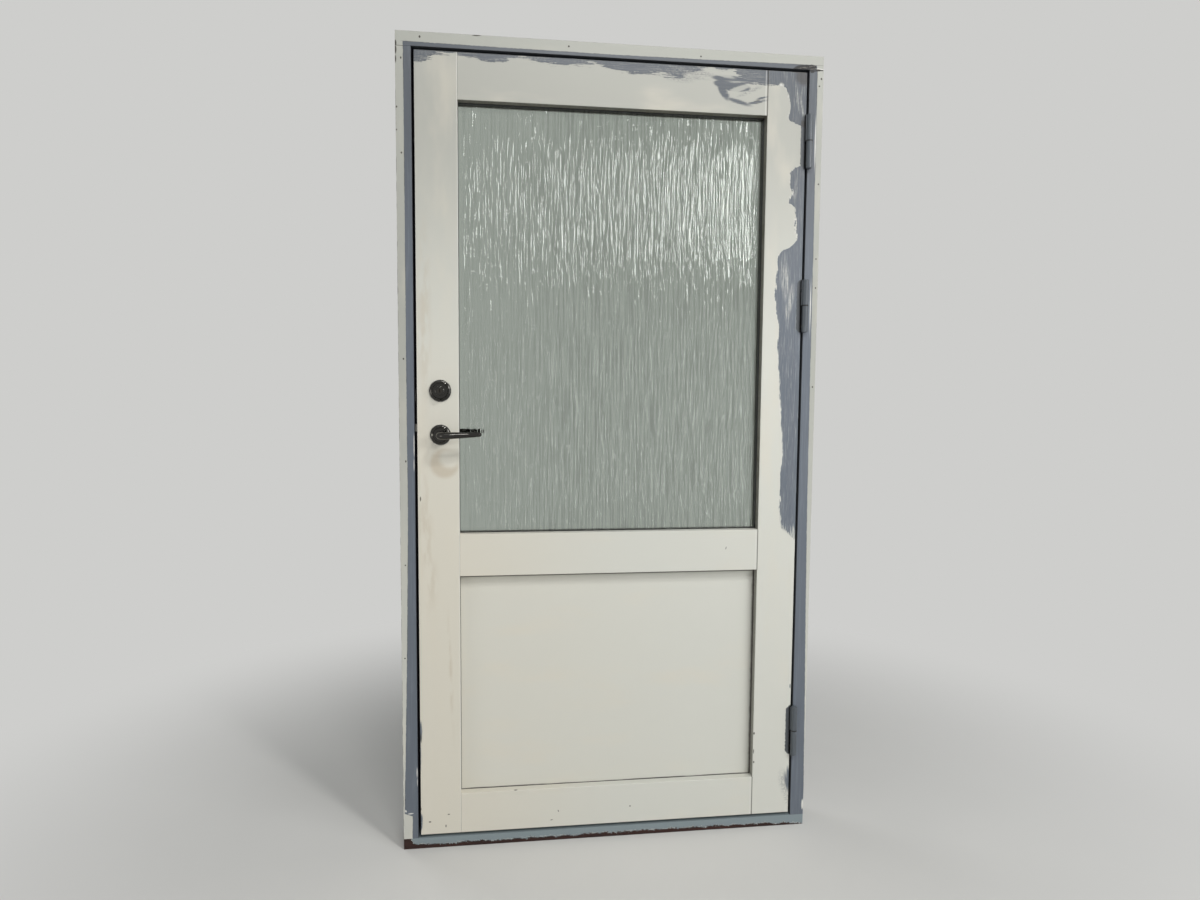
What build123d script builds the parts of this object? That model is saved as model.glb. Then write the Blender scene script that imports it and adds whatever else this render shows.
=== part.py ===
from build123d import *
import math
import os

os.makedirs("parts", exist_ok=True)

# Half-glazed timber door in its frame, seen from outside. X runs to the hinge side, Y into the
# building, Z up. The origin is the middle of the sill's underside. All sizes are in millimetres.

# Frame
frame_width = 1030.0
frame_height = 1960.0
frame_depth = 105.0
jamb_face = 36.0            # width of a jamb beside the leaf, seen from outside
head_face = 34.0
stop_width = 17.0           # how far the stop stands in behind the leaf
sill_height = 27.0
sill_fall = 3.0             # slope of the sill's top, over the leaf's rebate
sill_step_height = 20.0     # step behind the leaf's bottom edge
arris = 1.2                 # eased edge of every timber

# Leaf
leaf_thickness = 60.0
seal_gap = 4.0              # leaf's back to the stop
side_gap = 5.5
top_gap = 6.0
bottom_gap = 7.5
stile_width = 99.0
top_rail_width = 108.0
middle_rail_width = 103.5
middle_rail_height = 684.5  # underside of the middle rail above the sill's underside
bottom_rail_width = 101.5
dowel_diameter = 12.0
dowel_length = 100.0
dowels_per_joint = 2
dowel_clearance = 0.1

# Glass unit and panel
lip_thickness = 22.0        # timber in front of the glass and the panel
rebate_width = 14.0
edge_clearance = 4.0        # glass or panel edge to the bottom of its rebate
pane_thickness = 4.0
pane_spacing = 16.0
spacer_width = 7.0
spacer_inset = 2.0
gasket_thickness = 3.0
gasket_show = 1.0           # gasket seen past the timber's edge
panel_seal_thickness = 1.5
bead_ease = 4.0
block_length = 100.0
block_inset = 120.0         # setting block's middle from the side of the opening

# Weather seal in the stop
seal_width = 8.0
seal_barb_width = 2.6
seal_barb_depth = 5.0
seal_slack = 0.3            # seal's face to the leaf, and barb to its groove

# Hinges
hinge_length = 130.0
hinge_below_top = 166.5     # middle of the top hinge below the leaf's top
hinge_pair_pitch = 401.0
hinge_above_bottom = 224.0
knuckle_diameter = 15.5
knuckle_standoff = 8.0      # hinge axis in front of the frame's face
knuckle_offset = 1.5        # hinge axis past the jamb's edge
knuckle_ease = 1.5
pin_diameter = 10.0
pin_reach = 45.0            # pin into each knuckle
pin_fit = 0.05
washer_thickness = 1.0
hinge_plate_thickness = 2.5
hinge_plate_width = 30.0
hinge_screw_count = 4
hinge_screw_rows = (9.0, 21.0)   # staggered rows, from the leaf's and the frame's face

# Wood screws
screw_head_diameter = 9.0
screw_shank_diameter = 4.4
hinge_screw_length = 32.0
strike_screw_length = 28.0
corner_screw_length = 95.0
screw_clearance = 0.1

# Lock
lever_height = 1030.0       # lever's axis above the sill's underside
backset = 55.0              # leaf's edge to the lever's axis
cylinder_rise = 105.0       # cylinder's axis above the lever's
case_thickness = 16.0
case_wall = 1.5
case_depth = 80.0
case_height = 165.0
case_slack = 0.3
forend_width = 22.0
forend_length = 235.0
forend_thickness = 3.0
follower_diameter = 20.0
follower_spigot = 16.0
follower_arm_reach = 16.0
arm_width = 7.5
cam_diameter = 16.0
cam_spigot = 12.0
driver_diameter = 5.0       # driving pin on the follower's and on the cam's arm
driver_play = 0.5
arm_thickness = 3.0
tail_thickness = 3.0
bolt_play = 0.3
moving_clearance = 0.3
latch_throw = 12.0
latch_height = 18.0
latch_thickness = 11.0
latch_nose = 3.0            # thickness left at the bevel's tip
bolt_throw = 20.0
bolt_height = 28.0
bolt_recess = 0.5           # drawn bolt behind the forend's face
head_run = 18.0             # latch head inside the leaf's edge
bolt_run = 30.0

# Furniture
lever_turn_angle = 45.0
spindle_side = 8.0
spindle_grip = 28.0         # spindle inside each lever's neck
spindle_fit = 0.1
neck_diameter = 17.2
lever_stand = 50.0          # lever's middle line in front of the leaf
lever_reach = 98.0          # lever's axis to its tip
lever_bend_radius = 15.0
lever_tip_diameter = 11.2
lever_return = 8.0          # how far the tip comes back towards the leaf
lever_stations = 4          # sections along the tapered bar
lever_tilt = 2.0            # how far the lever at rest points above the level
lever_rosette_diameter = 49.5
rosette_height = 9.0
rosette_rim = 2.2
rosette_shoulder = 6.0      # width of the rounded rise inside the rim
rosette_crown = 7.8         # radius of that rise
cylinder_rosette_diameter = 52.5
cylinder_nose_diameter = 24.0
cylinder_nose_length = 21.0
cylinder_body_diameter = 34.0
plug_diameter = 13.0
plug_fit = 0.05
keyway_width = 2.2
keyway_height = 8.5
keyway_depth = 18.0
keyway_setback = 0.3        # plug's face behind the nose's rim
nose_ease = 3.6
tail_bar_width = 7.0
tail_bar_thickness = 2.0
turn_stem_diameter = 13.0
turn_tab_height = 34.0
turn_tab_thickness = 9.0
turn_tab_reach = 24.0
furniture_bolt_diameter = 4.0
furniture_bolt_head = 7.5
lever_bolt_spacing = 38.0
cylinder_bolt_spacing = 24.0
cylinder_bolt_rise = 7.0

# Strike plate
strike_thickness = 3.0
strike_width = 25.0
strike_margin = 30.0
pocket_clearance = 3.0

# Fixing holes through the jambs
fixing_hole_diameter = 11.0
fixing_hole_count = 4
fixing_end_distance = 230.0  # first and last hole from the frame's ends
fixing_setback = 48.5       # holes behind the frame's outside face

# Faces worked out from the sizes above
front = -frame_depth / 2
back = frame_depth / 2
stop_y = front + leaf_thickness + seal_gap
leaf_back = front + leaf_thickness
leaf_middle = front + leaf_thickness / 2
half_width = frame_width / 2
rebate_x = half_width - jamb_face
inner_x = rebate_x - stop_width
head_z = frame_height - head_face
sill_step_z = sill_height + sill_step_height
leaf_x = rebate_x - side_gap
leaf_bottom = sill_height + bottom_gap
leaf_top = head_z - top_gap
opening_x = leaf_x - stile_width
glass_bottom = middle_rail_height + middle_rail_width
glass_top = leaf_top - top_rail_width
panel_bottom = leaf_bottom + bottom_rail_width
panel_top = middle_rail_height
lip_back = front + lip_thickness
unit_thickness = 2 * pane_thickness + pane_spacing
glass_front = lip_back + gasket_thickness
glass_back = glass_front + unit_thickness
panel_front = lip_back + panel_seal_thickness
hinge_x = rebate_x + knuckle_offset
hinge_y = front - knuckle_standoff
hinge_heights = {
    "top": leaf_top - hinge_below_top,
    "second": leaf_top - hinge_below_top - hinge_pair_pitch,
    "bottom": leaf_bottom + hinge_above_bottom,
}
lever_x = -leaf_x + backset
cylinder_z = lever_height + cylinder_rise
case_x = -leaf_x + forend_thickness
lock_middle_z = (lever_height + cylinder_z) / 2
latch_travel_angle = lever_turn_angle / 2
latch_z = lever_height + follower_arm_reach * (1 + math.cos(math.radians(latch_travel_angle))) / 2
cam_arm_reach = bolt_throw / math.sqrt(2)
bolt_z = cylinder_z - cam_arm_reach * (1 + math.sqrt(0.5)) / 2
tail_y = (leaf_middle - arm_thickness / 2 - moving_clearance - tail_thickness,
          leaf_middle - arm_thickness / 2 - moving_clearance)
strike_z = (latch_z - latch_height / 2 - strike_margin, bolt_z + bolt_height / 2 + strike_margin)
fixing_pitch = (frame_height - 2 * fixing_end_distance) / (fixing_hole_count - 1)
rail_cores = {
    "top": (glass_top + rebate_width, leaf_top),
    "middle": (panel_top + rebate_width, glass_bottom - rebate_width),
    "bottom": (leaf_bottom, panel_bottom - rebate_width),
}


def block(x, y, z):
    """A box between two places on each axis."""
    size = [max(pair) - min(pair) for pair in (x, y, z)]
    centre = [(pair[0] + pair[1]) / 2 for pair in (x, y, z)]
    return Pos(*centre) * Box(*size)


def near(value, target):
    return abs(value - target) < 0.01


def timber(x, y, z):
    """A planed board with the edges of its two faces eased."""
    board = block(x, y, z)
    edges = [edge for edge in board.edges()
             if near(edge.center().Y, y[0]) or near(edge.center().Y, y[1])]
    return fillet(edges, arris)


def save(name, *solids):
    shape = solids[0] if len(solids) == 1 else Compound(list(solids))
    export_step(shape, f"parts/{name}.step")


def aimed(shape, place, direction):
    """Puts a shape modelled along +Z at a place, pointing along a direction."""
    return Plane(origin=place, z_dir=direction) * shape


def rod(diameter, y, x, z):
    """A round bar along Y."""
    return aimed(extrude(Circle(diameter / 2), y[1] - y[0]), (x, y[0], z), (0, 1, 0))


def wood_screw(length, clearance=0.0):
    """Countersunk screw: head at the origin, shank along +Z. Its hole is the same with clearance."""
    head = screw_head_diameter / 2 + clearance
    shank = screw_shank_diameter / 2 + clearance
    sink = head - shank
    end = length + clearance
    outline = Polyline((0, 0), (head, 0), (shank, sink), (shank, end - shank), (0, end), close=True)
    return revolve(Plane.XZ * make_face(outline), Axis.Z)


def machine_bolt(length, clearance=0.0):
    """Countersunk bolt for the furniture: head at the origin, shank along +Z."""
    head = furniture_bolt_head / 2 + clearance
    shank = furniture_bolt_diameter / 2 + clearance
    end = length + clearance
    outline = Polyline((0, 0), (head, 0), (shank, head - shank), (shank, end), (0, end), close=True)
    return revolve(Plane.XZ * make_face(outline), Axis.Z)


# Hinges

def hinge_screw_places(height, edge_x):
    """Where the screws go through a hinge plate, staggered in two rows."""
    pitch = hinge_length / hinge_screw_count
    for index in range(hinge_screw_count):
        drop = (index + 0.5) * pitch - hinge_length / 2
        yield (edge_x, front + hinge_screw_rows[index % 2], height + drop)


def hinge_frame_screws(clearance=0.0):
    return [aimed(wood_screw(hinge_screw_length, clearance), place, (1, 0, 0))
            for height in hinge_heights.values()
            for place in hinge_screw_places(height, rebate_x)]


def hinge_leaf_screws(clearance=0.0):
    return [aimed(wood_screw(hinge_screw_length, clearance), place, (-1, 0, 0))
            for height in hinge_heights.values()
            for place in hinge_screw_places(height, leaf_x)]


def knuckle(bottom, top, bore, bore_bottom, bore_top):
    """Half of a hinge's barrel, with a blind hole for the pin."""
    barrel = Pos(hinge_x, hinge_y, bottom) * extrude(Circle(knuckle_diameter / 2), top - bottom)
    end = barrel.edges().sort_by(Axis.Z)[0 if near(bore_top, top) else -1]
    barrel = fillet(end, knuckle_ease)
    hole = Pos(hinge_x, hinge_y, bore_bottom) * extrude(Circle(bore), bore_top - bore_bottom)
    return barrel, hole


def hinge_plate(x, height):
    """The plate let into the timber, flush with it, as long as the barrel."""
    z = (height - hinge_length / 2, height + hinge_length / 2)
    return block(x, (front, front + hinge_plate_width), z)


def hinge_frame_half(height):
    top = height - washer_thickness / 2
    bottom = height - hinge_length / 2
    bore = pin_diameter / 2 + pin_fit / 2
    barrel, hole = knuckle(bottom, top, bore, top - pin_reach, top)
    x = (rebate_x, rebate_x + hinge_plate_thickness)
    neck = block(x, (hinge_y, front), (bottom + knuckle_ease, top))
    half = hinge_plate(x, height) + neck + barrel - hole
    for screw in hinge_frame_screws(screw_clearance):
        half = half - screw
    return half


def hinge_leaf_half(height):
    bottom = height + washer_thickness / 2
    top = height + hinge_length / 2
    bore = pin_diameter / 2 + pin_fit
    barrel, hole = knuckle(bottom, top, bore, bottom, bottom + pin_reach + moving_clearance)
    x = (leaf_x - hinge_plate_thickness, leaf_x)
    neck = block(x, (hinge_y, front), (bottom, top - knuckle_ease))
    half = hinge_plate(x, height) + neck + barrel - hole
    for screw in hinge_leaf_screws(screw_clearance):
        half = half - screw
    return half


def hinge_pin(height):
    length = 2 * pin_reach + washer_thickness
    pin = Pos(hinge_x, hinge_y, height - length / 2) * extrude(Circle(pin_diameter / 2), length)
    return chamfer(pin.edges().sort_by(Axis.Z)[-1], knuckle_ease)


def hinge_washer(height):
    ring = Circle(knuckle_diameter / 2) - Circle(pin_diameter / 2 + pin_fit)
    return Pos(hinge_x, hinge_y, height - washer_thickness / 2) * extrude(ring, washer_thickness)


# Frame

def rebated_section(outer, face, stop):
    """Section of a jamb from its outer side, with the eased edges that show."""
    corners = [(outer, front), (face, front), (face, stop_y), (stop, stop_y), (stop, back), (outer, back)]
    section = make_face(Polyline(*corners, close=True))
    shown = [vertex for vertex in section.vertices()
             if near(vertex.X, stop) or (near(vertex.X, face) and near(vertex.Y, front))]
    return fillet(shown, arris)


def plain_jamb(side):
    section = rebated_section(side * half_width, side * rebate_x, side * inner_x)
    return Pos(0, 0, sill_height) * extrude(section, head_z - sill_height)


def fixing_holes(side):
    holes = []
    for index in range(fixing_hole_count):
        z = fixing_end_distance + index * fixing_pitch
        place = (side * (rebate_x - 1), front + fixing_setback, z)
        drill = extrude(Circle(fixing_hole_diameter / 2), jamb_face + 2)
        holes.append(aimed(drill, place, (side, 0, 0)))
    return holes


def seal_line():
    """Middle of the strip of leaf that overlaps the stop: x at the sides, z at bottom and top."""
    side = (leaf_x + inner_x) / 2
    bottom = (leaf_bottom + sill_step_z) / 2
    top = (leaf_top + head_z - stop_width) / 2
    return side, bottom, top


def seal_ring(width, y):
    """Four straight strips round the stop: the upright ones run past the level ones."""
    side, bottom, top = seal_line()
    half = width / 2
    upright = (bottom - half, top + half)
    level = (-side + half, side - half)
    return [
        block((-side - half, -side + half), y, upright),
        block((side - half, side + half), y, upright),
        block(level, y, (bottom - half, bottom + half)),
        block(level, y, (top - half, top + half)),
    ]


def seal_grooves():
    return seal_ring(seal_barb_width + 2 * seal_slack, (stop_y, stop_y + seal_barb_depth + seal_slack))


def weather_seal():
    """Rubber strips with a rounded bulb against the leaf and a barb in the groove."""
    bulb_y = (leaf_back + seal_slack, stop_y)
    strips = []
    for bulb, barb in zip(seal_ring(seal_width, bulb_y),
                          seal_ring(seal_barb_width, (stop_y, stop_y + seal_barb_depth))):
        nose = [edge for edge in bulb.edges()
                if near(edge.center().Y, bulb_y[0]) and edge.length > seal_width]
        strips.append(fillet(nose, (bulb_y[1] - bulb_y[0]) / 2) + barb)
    return strips


def lock_jamb():
    jamb = plain_jamb(-1)
    cuts = fixing_holes(-1) + seal_grooves() + corner_screws(screw_clearance)
    cuts += [strike_blank(), *strike_pockets()] + strike_screws(screw_clearance)
    for cut in cuts:
        jamb = jamb - cut
    return jamb


def hinge_jamb():
    jamb = plain_jamb(1)
    x = (rebate_x, rebate_x + hinge_plate_thickness)
    cuts = fixing_holes(1) + seal_grooves() + corner_screws(screw_clearance)
    cuts += [hinge_plate(x, height) for height in hinge_heights.values()]
    cuts += hinge_frame_screws(screw_clearance)
    for cut in cuts:
        jamb = jamb - cut
    return jamb


def head_jamb():
    """Runs over both jambs; its stop fits between theirs."""
    slab = timber((-half_width, half_width), (front, back), (head_z, frame_height))
    stop = block((-inner_x, inner_x), (stop_y, back), (head_z - stop_width, head_z + arris))
    head = slab + stop
    for cut in seal_grooves() + corner_screws(screw_clearance):
        head = head - cut
    return head


def threshold():
    """Sill under both jambs: its top falls outwards, and a step stands behind the leaf."""
    board = timber((-half_width, half_width), (front, back), (0, sill_height))
    wash = make_face(Polyline((front, sill_height), (stop_y, sill_height + sill_fall),
                              (stop_y, sill_height - arris), (front, sill_height - arris), close=True))
    slope = extrude(Plane.YZ * wash, rebate_x, both=True)
    step = block((-inner_x, inner_x), (stop_y, back), (sill_height - arris, sill_step_z))
    step = fillet([edge for edge in step.edges()
                   if near(edge.center().Z, sill_step_z) and near(edge.center().X, 0)], arris)
    sill = board + slope + step
    for cut in seal_grooves() + corner_screws(screw_clearance):
        sill = sill - cut
    return sill


def corner_screws(clearance=0.0):
    """Two screws at each corner, through the head or the sill into the jamb's end."""
    screws = []
    for side in (-1, 1):
        x = side * (rebate_x + jamb_face / 2)
        for y in (front + frame_depth / 4, back - frame_depth / 4):
            screws.append(aimed(wood_screw(corner_screw_length, clearance), (x, y, frame_height), (0, 0, -1)))
            screws.append(aimed(wood_screw(corner_screw_length, clearance), (x, y, 0), (0, 0, 1)))
    return screws


# Strike plate

def strike_blank():
    y = (leaf_middle - strike_width / 2, leaf_middle + strike_width / 2)
    return block((-rebate_x - strike_thickness, -rebate_x), y, strike_z)


def strike_pockets():
    """Holes for the latch and the thrown bolt, through the plate and into the jamb."""
    pockets = []
    for z, height, reach in ((latch_z, latch_height, latch_throw), (bolt_z, bolt_height, bolt_throw)):
        half_y = latch_thickness / 2 + pocket_clearance / 2
        half_z = height / 2 + pocket_clearance / 2
        x = (-leaf_x - reach - pocket_clearance, -rebate_x)
        pockets.append(block(x, (leaf_middle - half_y, leaf_middle + half_y), (z - half_z, z + half_z)))
    return pockets


def strike_screws(clearance=0.0):
    inset = strike_margin / 3
    return [aimed(wood_screw(strike_screw_length, clearance), (-rebate_x, leaf_middle, z), (-1, 0, 0))
            for z in (strike_z[0] + inset, strike_z[1] - inset)]


def strike_plate():
    plate = strike_blank()
    for cut in strike_pockets() + strike_screws(screw_clearance):
        plate = plate - cut
    return plate


# Leaf timbers

def infill_rebates():
    """The space cut from behind for the glass unit and for the panel, with their beads."""
    half = opening_x + rebate_width
    y = (lip_back, leaf_back)
    return [block((-half, half), y, (bottom - rebate_width, top + rebate_width))
            for bottom, top in ((glass_bottom, glass_top), (panel_bottom, panel_top))]


def rail_dowels(clearance=0.0):
    dowels = []
    length = dowel_length + 2 * clearance
    for low, high in rail_cores.values():
        for index in range(dowels_per_joint):
            z = low + (high - low) * (index + 0.5) / dowels_per_joint
            for side in (-1, 1):
                pin = extrude(Circle(dowel_diameter / 2 + clearance), length / 2, both=True)
                dowels.append(aimed(pin, (side * opening_x, leaf_middle, z), (1, 0, 0)))
    return dowels


def stile(side):
    x = (side * leaf_x, side * opening_x)
    board = timber((min(x), max(x)), (front, leaf_back), (leaf_bottom, leaf_top))
    for cut in infill_rebates() + rail_dowels(dowel_clearance):
        board = board - cut
    return board


def hinge_stile():
    board = stile(1)
    x = (leaf_x - hinge_plate_thickness, leaf_x)
    for height in hinge_heights.values():
        board = board - hinge_plate(x, height)
    for cut in hinge_leaf_screws(screw_clearance):
        board = board - cut
    return board


def lock_stile():
    board = stile(-1)
    for cut in [forend_blank(), case_mortise(), *furniture_holes(), *forend_screws(screw_clearance)]:
        board = board - cut
    for cut in furniture_fixings(screw_clearance):
        board = board - cut
    return board


def rail(bottom, top):
    board = timber((-opening_x, opening_x), (front, leaf_back), (bottom, top))
    for cut in infill_rebates() + rail_dowels(dowel_clearance):
        board = board - cut
    return board


# Glass unit, panel and what holds them

def mitred_bars(half_x, bottom, top, width, y):
    """Four bars round the inside of a rectangle, mitred at its corners: bottom, top, left, right."""
    def bar(corners):
        outline = Plane.XZ * make_face(Polyline(*corners, close=True))
        return Pos(0, y[1], 0) * extrude(outline, y[1] - y[0])
    left, right = -half_x + width, half_x - width
    low, high = bottom + width, top - width
    return [
        bar([(-half_x, bottom), (half_x, bottom), (right, low), (left, low)]),
        bar([(-half_x, top), (left, high), (right, high), (half_x, top)]),
        bar([(-half_x, bottom), (left, low), (left, high), (-half_x, top)]),
        bar([(half_x, bottom), (half_x, top), (right, high), (right, low)]),
    ]


def infill_edges(bottom, top):
    """Half width, bottom and top of the glass unit or the panel in an opening."""
    bite = rebate_width - edge_clearance
    return opening_x + bite, bottom - bite, top + bite


def pane(y):
    half, low, high = infill_edges(glass_bottom, glass_top)
    return block((-half, half), y, (low, high))


def spacer_frame():
    half, low, high = infill_edges(glass_bottom, glass_top)
    y = (glass_front + pane_thickness, glass_back - pane_thickness)
    inset = spacer_inset
    return mitred_bars(half - inset, low + inset, high - inset, spacer_width, y)


def edge_seal(bottom, top, thickness):
    """Rubber between the timber lip and the infill, just seen past the lip's edge."""
    half, low, high = infill_edges(bottom, top)
    width = rebate_width - edge_clearance + gasket_show
    return mitred_bars(half, low, high, width, (lip_back, lip_back + thickness))


def lower_panel():
    half, low, high = infill_edges(panel_bottom, panel_top)
    return block((-half, half), (panel_front, panel_front + unit_thickness), (low, high))


def setting_blocks():
    blocks = []
    for bottom, y in ((glass_bottom, glass_front), (panel_bottom, panel_front)):
        for side in (-1, 1):
            x = side * (opening_x - block_inset)
            z = bottom - rebate_width
            blocks.append(block((x - block_length / 2, x + block_length / 2),
                                (y, y + unit_thickness), (z, z + edge_clearance)))
    return blocks


def beads(bottom, top, infill_back):
    """Timber beads that hold the infill from inside, with their inner edge rounded."""
    half = opening_x + rebate_width
    y = (infill_back, leaf_back)
    bars = mitred_bars(half, bottom - rebate_width, top + rebate_width, rebate_width, y)
    radius = min(bead_ease, (y[1] - y[0]) / 2)
    eased = []
    for bar in bars:
        rear = [edge for edge in bar.edges() if near(edge.center().Y, leaf_back)]
        inner = [edge for edge in rear if (near(abs(edge.center().X), opening_x)
                                           or near(edge.center().Z, bottom) or near(edge.center().Z, top))
                 and edge.length > 2 * rebate_width]
        eased.append(fillet(inner, radius))
    return eased


# Lock

def forend_blank():
    y = (leaf_middle - forend_width / 2, leaf_middle + forend_width / 2)
    z = (lock_middle_z - forend_length / 2, lock_middle_z + forend_length / 2)
    return block((-leaf_x, case_x), y, z)


def case_box():
    return block((case_x, case_x + case_depth),
                 (leaf_middle - case_thickness / 2, leaf_middle + case_thickness / 2),
                 (lock_middle_z - case_height / 2, lock_middle_z + case_height / 2))


def case_mortise():
    half_y = case_thickness / 2 + case_slack
    half_z = case_height / 2 + case_slack
    return block((case_x, case_x + case_depth + case_slack), (leaf_middle - half_y, leaf_middle + half_y),
                 (lock_middle_z - half_z, lock_middle_z + half_z))


def bolt_openings():
    """Slots for the latch's and the bolt's heads through the forend and the case's front wall."""
    openings = []
    x = (-leaf_x, case_x + case_wall)
    half_y = latch_thickness / 2 + bolt_play
    for z, height in ((latch_z, latch_height), (bolt_z, bolt_height)):
        half_z = height / 2 + bolt_play
        openings.append(block(x, (leaf_middle - half_y, leaf_middle + half_y), (z - half_z, z + half_z)))
    return openings


def case_bores():
    """Bearing holes for the follower and the cam through both side walls."""
    y = (leaf_middle - case_thickness / 2, leaf_middle + case_thickness / 2)
    return [rod(follower_spigot + 2 * moving_clearance, y, lever_x, lever_height),
            rod(cam_spigot + 2 * moving_clearance, y, lever_x, cylinder_z)]


def lock_case():
    """Steel box, open on its inner side."""
    cavity_y = (leaf_middle - case_thickness / 2 + case_wall, leaf_middle + case_thickness / 2)
    cavity = block((case_x + case_wall, case_x + case_depth - case_wall), cavity_y,
                   (lock_middle_z - case_height / 2 + case_wall, lock_middle_z + case_height / 2 - case_wall))
    case = case_box() - cavity
    for cut in bolt_openings() + case_bores() + furniture_fixings(screw_clearance):
        case = case - cut
    return case


def lock_cover():
    """Plate let in between the case's edges."""
    rear = leaf_middle + case_thickness / 2
    x = (case_x + case_wall, case_x + case_depth - case_wall)
    half_z = case_height / 2 - case_wall
    cover = block(x, (rear - case_wall, rear), (lock_middle_z - half_z, lock_middle_z + half_z))
    for cut in case_bores() + furniture_fixings(screw_clearance):
        cover = cover - cut
    return cover


def forend_screws(clearance=0.0):
    inset = (forend_length - case_height) / 4
    ends = (lock_middle_z - forend_length / 2 + inset, lock_middle_z + forend_length / 2 - inset)
    return [aimed(wood_screw(strike_screw_length, clearance), (-leaf_x, leaf_middle, z), (1, 0, 0))
            for z in ends]


def lock_forend():
    plate = forend_blank()
    for cut in bolt_openings() + forend_screws(screw_clearance):
        plate = plate - cut
    return plate


def driver(centre_x, centre_z, angle, reach, hub_diameter, spigot_diameter):
    """Turning hub with bearing spigots, an arm and a driving pin, its arm at an angle from +X."""
    half_case = case_thickness / 2
    hub_half = half_case - case_wall - moving_clearance
    hub = rod(hub_diameter, (leaf_middle - hub_half, leaf_middle + hub_half), centre_x, centre_z)
    spigots = rod(spigot_diameter, (leaf_middle - half_case, leaf_middle + half_case), centre_x, centre_z)
    x = centre_x + reach * math.cos(math.radians(angle))
    z = centre_z + reach * math.sin(math.radians(angle))
    arm_y = (leaf_middle - arm_thickness / 2, leaf_middle + arm_thickness / 2)
    tip = rod(arm_width, arm_y, x, z)
    bar = Pos(reach / 2, 0, 0) * Box(reach, arm_thickness, arm_width)
    arm = Pos(centre_x, leaf_middle, centre_z) * Rot(0, -angle, 0) * bar
    pin = rod(driver_diameter, (tail_y[0], arm_y[0]), x, z)
    return hub + spigots + arm + tip + pin


def square_hole(x, z, side):
    return block((x - side / 2, x + side / 2), (front - lever_stand, leaf_back + lever_stand),
                 (z - side / 2, z + side / 2))


def follower():
    shape = driver(lever_x, lever_height, 90 + latch_travel_angle, follower_arm_reach,
                   follower_diameter, follower_spigot)
    return shape - square_hole(lever_x, lever_height, spindle_side + 2 * spindle_fit)


def bolt_cam():
    shape = driver(lever_x, cylinder_z, -45, cam_arm_reach, cam_diameter, cam_spigot)
    return shape - tail_bar_space(spindle_fit)


def driver_slot(pin_x, z):
    half = driver_diameter / 2 + driver_play
    y = (tail_y[0] - bolt_play, tail_y[1] + bolt_play)
    return block((pin_x - half, pin_x + half), y, z)


def latch_bolt():
    """Bevelled head and a flat tail with an upright slot for the follower's pin."""
    tip = -leaf_x - latch_throw
    head_back = -leaf_x + head_run
    pin_x = lever_x - follower_arm_reach * math.sin(math.radians(latch_travel_angle))
    half = latch_thickness / 2
    y0, y1 = leaf_middle - half, leaf_middle + half
    outline = Polyline((tip, y0), (head_back, y0), (head_back, y1), (-leaf_x - bolt_recess, y1),
                       (tip, y0 + latch_nose), close=True)
    head = Pos(0, 0, latch_z - latch_height / 2) * extrude(make_face(outline), latch_height)
    tail_end = pin_x + driver_diameter + driver_play
    tail = block((head_back, tail_end), tail_y, (latch_z - driver_diameter, latch_z + latch_height / 2))
    slot = driver_slot(pin_x, (latch_z - latch_height, latch_z + driver_diameter))
    return head + tail - slot


def dead_bolt():
    """Square head and a flat tail, notched for the cam's pin."""
    edge = -leaf_x + bolt_recess
    head_back = edge + bolt_run
    half = latch_thickness / 2
    half_z = bolt_height / 2
    head_y = (leaf_middle - half, leaf_middle + half)
    head = block((edge, head_back), head_y, (bolt_z - half_z, bolt_z + half_z))
    pin_x = lever_x + cam_arm_reach * math.sqrt(0.5)
    tail_top = cylinder_z - cam_diameter / 2 - 3 * moving_clearance
    tail_end = pin_x + driver_diameter + driver_play
    tail = block((head_back, tail_end), tail_y, (bolt_z - half_z, tail_top))
    low = cylinder_z - cam_arm_reach - driver_diameter / 2 - driver_play
    slot = driver_slot(pin_x, (low, cylinder_z))
    return head + tail - slot


# Furniture

def furniture_holes():
    """Holes through the leaf for the lever's neck, the cylinder and the turn's stem."""
    case_front = leaf_middle - case_thickness / 2
    case_rear = leaf_middle + case_thickness / 2
    neck = neck_diameter + 4 * moving_clearance
    return [
        rod(neck, (front, case_front), lever_x, lever_height),
        rod(neck, (case_rear, leaf_back), lever_x, lever_height),
        rod(cylinder_body_diameter + 2 * case_slack, (front, case_front), lever_x, cylinder_z),
        rod(turn_stem_diameter + 4 * moving_clearance, (case_rear, leaf_back), lever_x, cylinder_z),
    ]


def rosette_shape(diameter, height, bore):
    """Turned cover: a thin rim, then a rounded rise to a flat face. Its back is at z = 0."""
    outer = diameter / 2
    shoulder = outer - rosette_rim
    crown = shoulder - rosette_shoulder
    outline = (
        Line((bore, 0), (outer, 0)) + Line((outer, 0), (outer, rosette_rim))
        + Line((outer, rosette_rim), (shoulder, rosette_rim))
        + RadiusArc((shoulder, rosette_rim), (crown, height), rosette_crown)
        + Line((crown, height), (bore, height)) + Line((bore, height), (bore, 0))
    )
    return revolve(Plane.XZ * make_face(outline), Axis.Z)


def outer_rosette(diameter, bore, z):
    return aimed(rosette_shape(diameter, rosette_height, bore), (lever_x, front, z), (0, -1, 0))


def inner_rosette(diameter, bore, z):
    return aimed(rosette_shape(diameter, rosette_height, bore), (lever_x, leaf_back, z), (0, 1, 0))


def rosette_bolts(clearance=0.0):
    """Bolts from the inner lever rosette through the leaf into the outer one."""
    length = leaf_thickness + rosette_height + rosette_height / 2
    return [aimed(machine_bolt(length, clearance), (lever_x + side * lever_bolt_spacing / 2,
                                                    leaf_back + rosette_height, lever_height), (0, -1, 0))
            for side in (-1, 1)]


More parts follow.
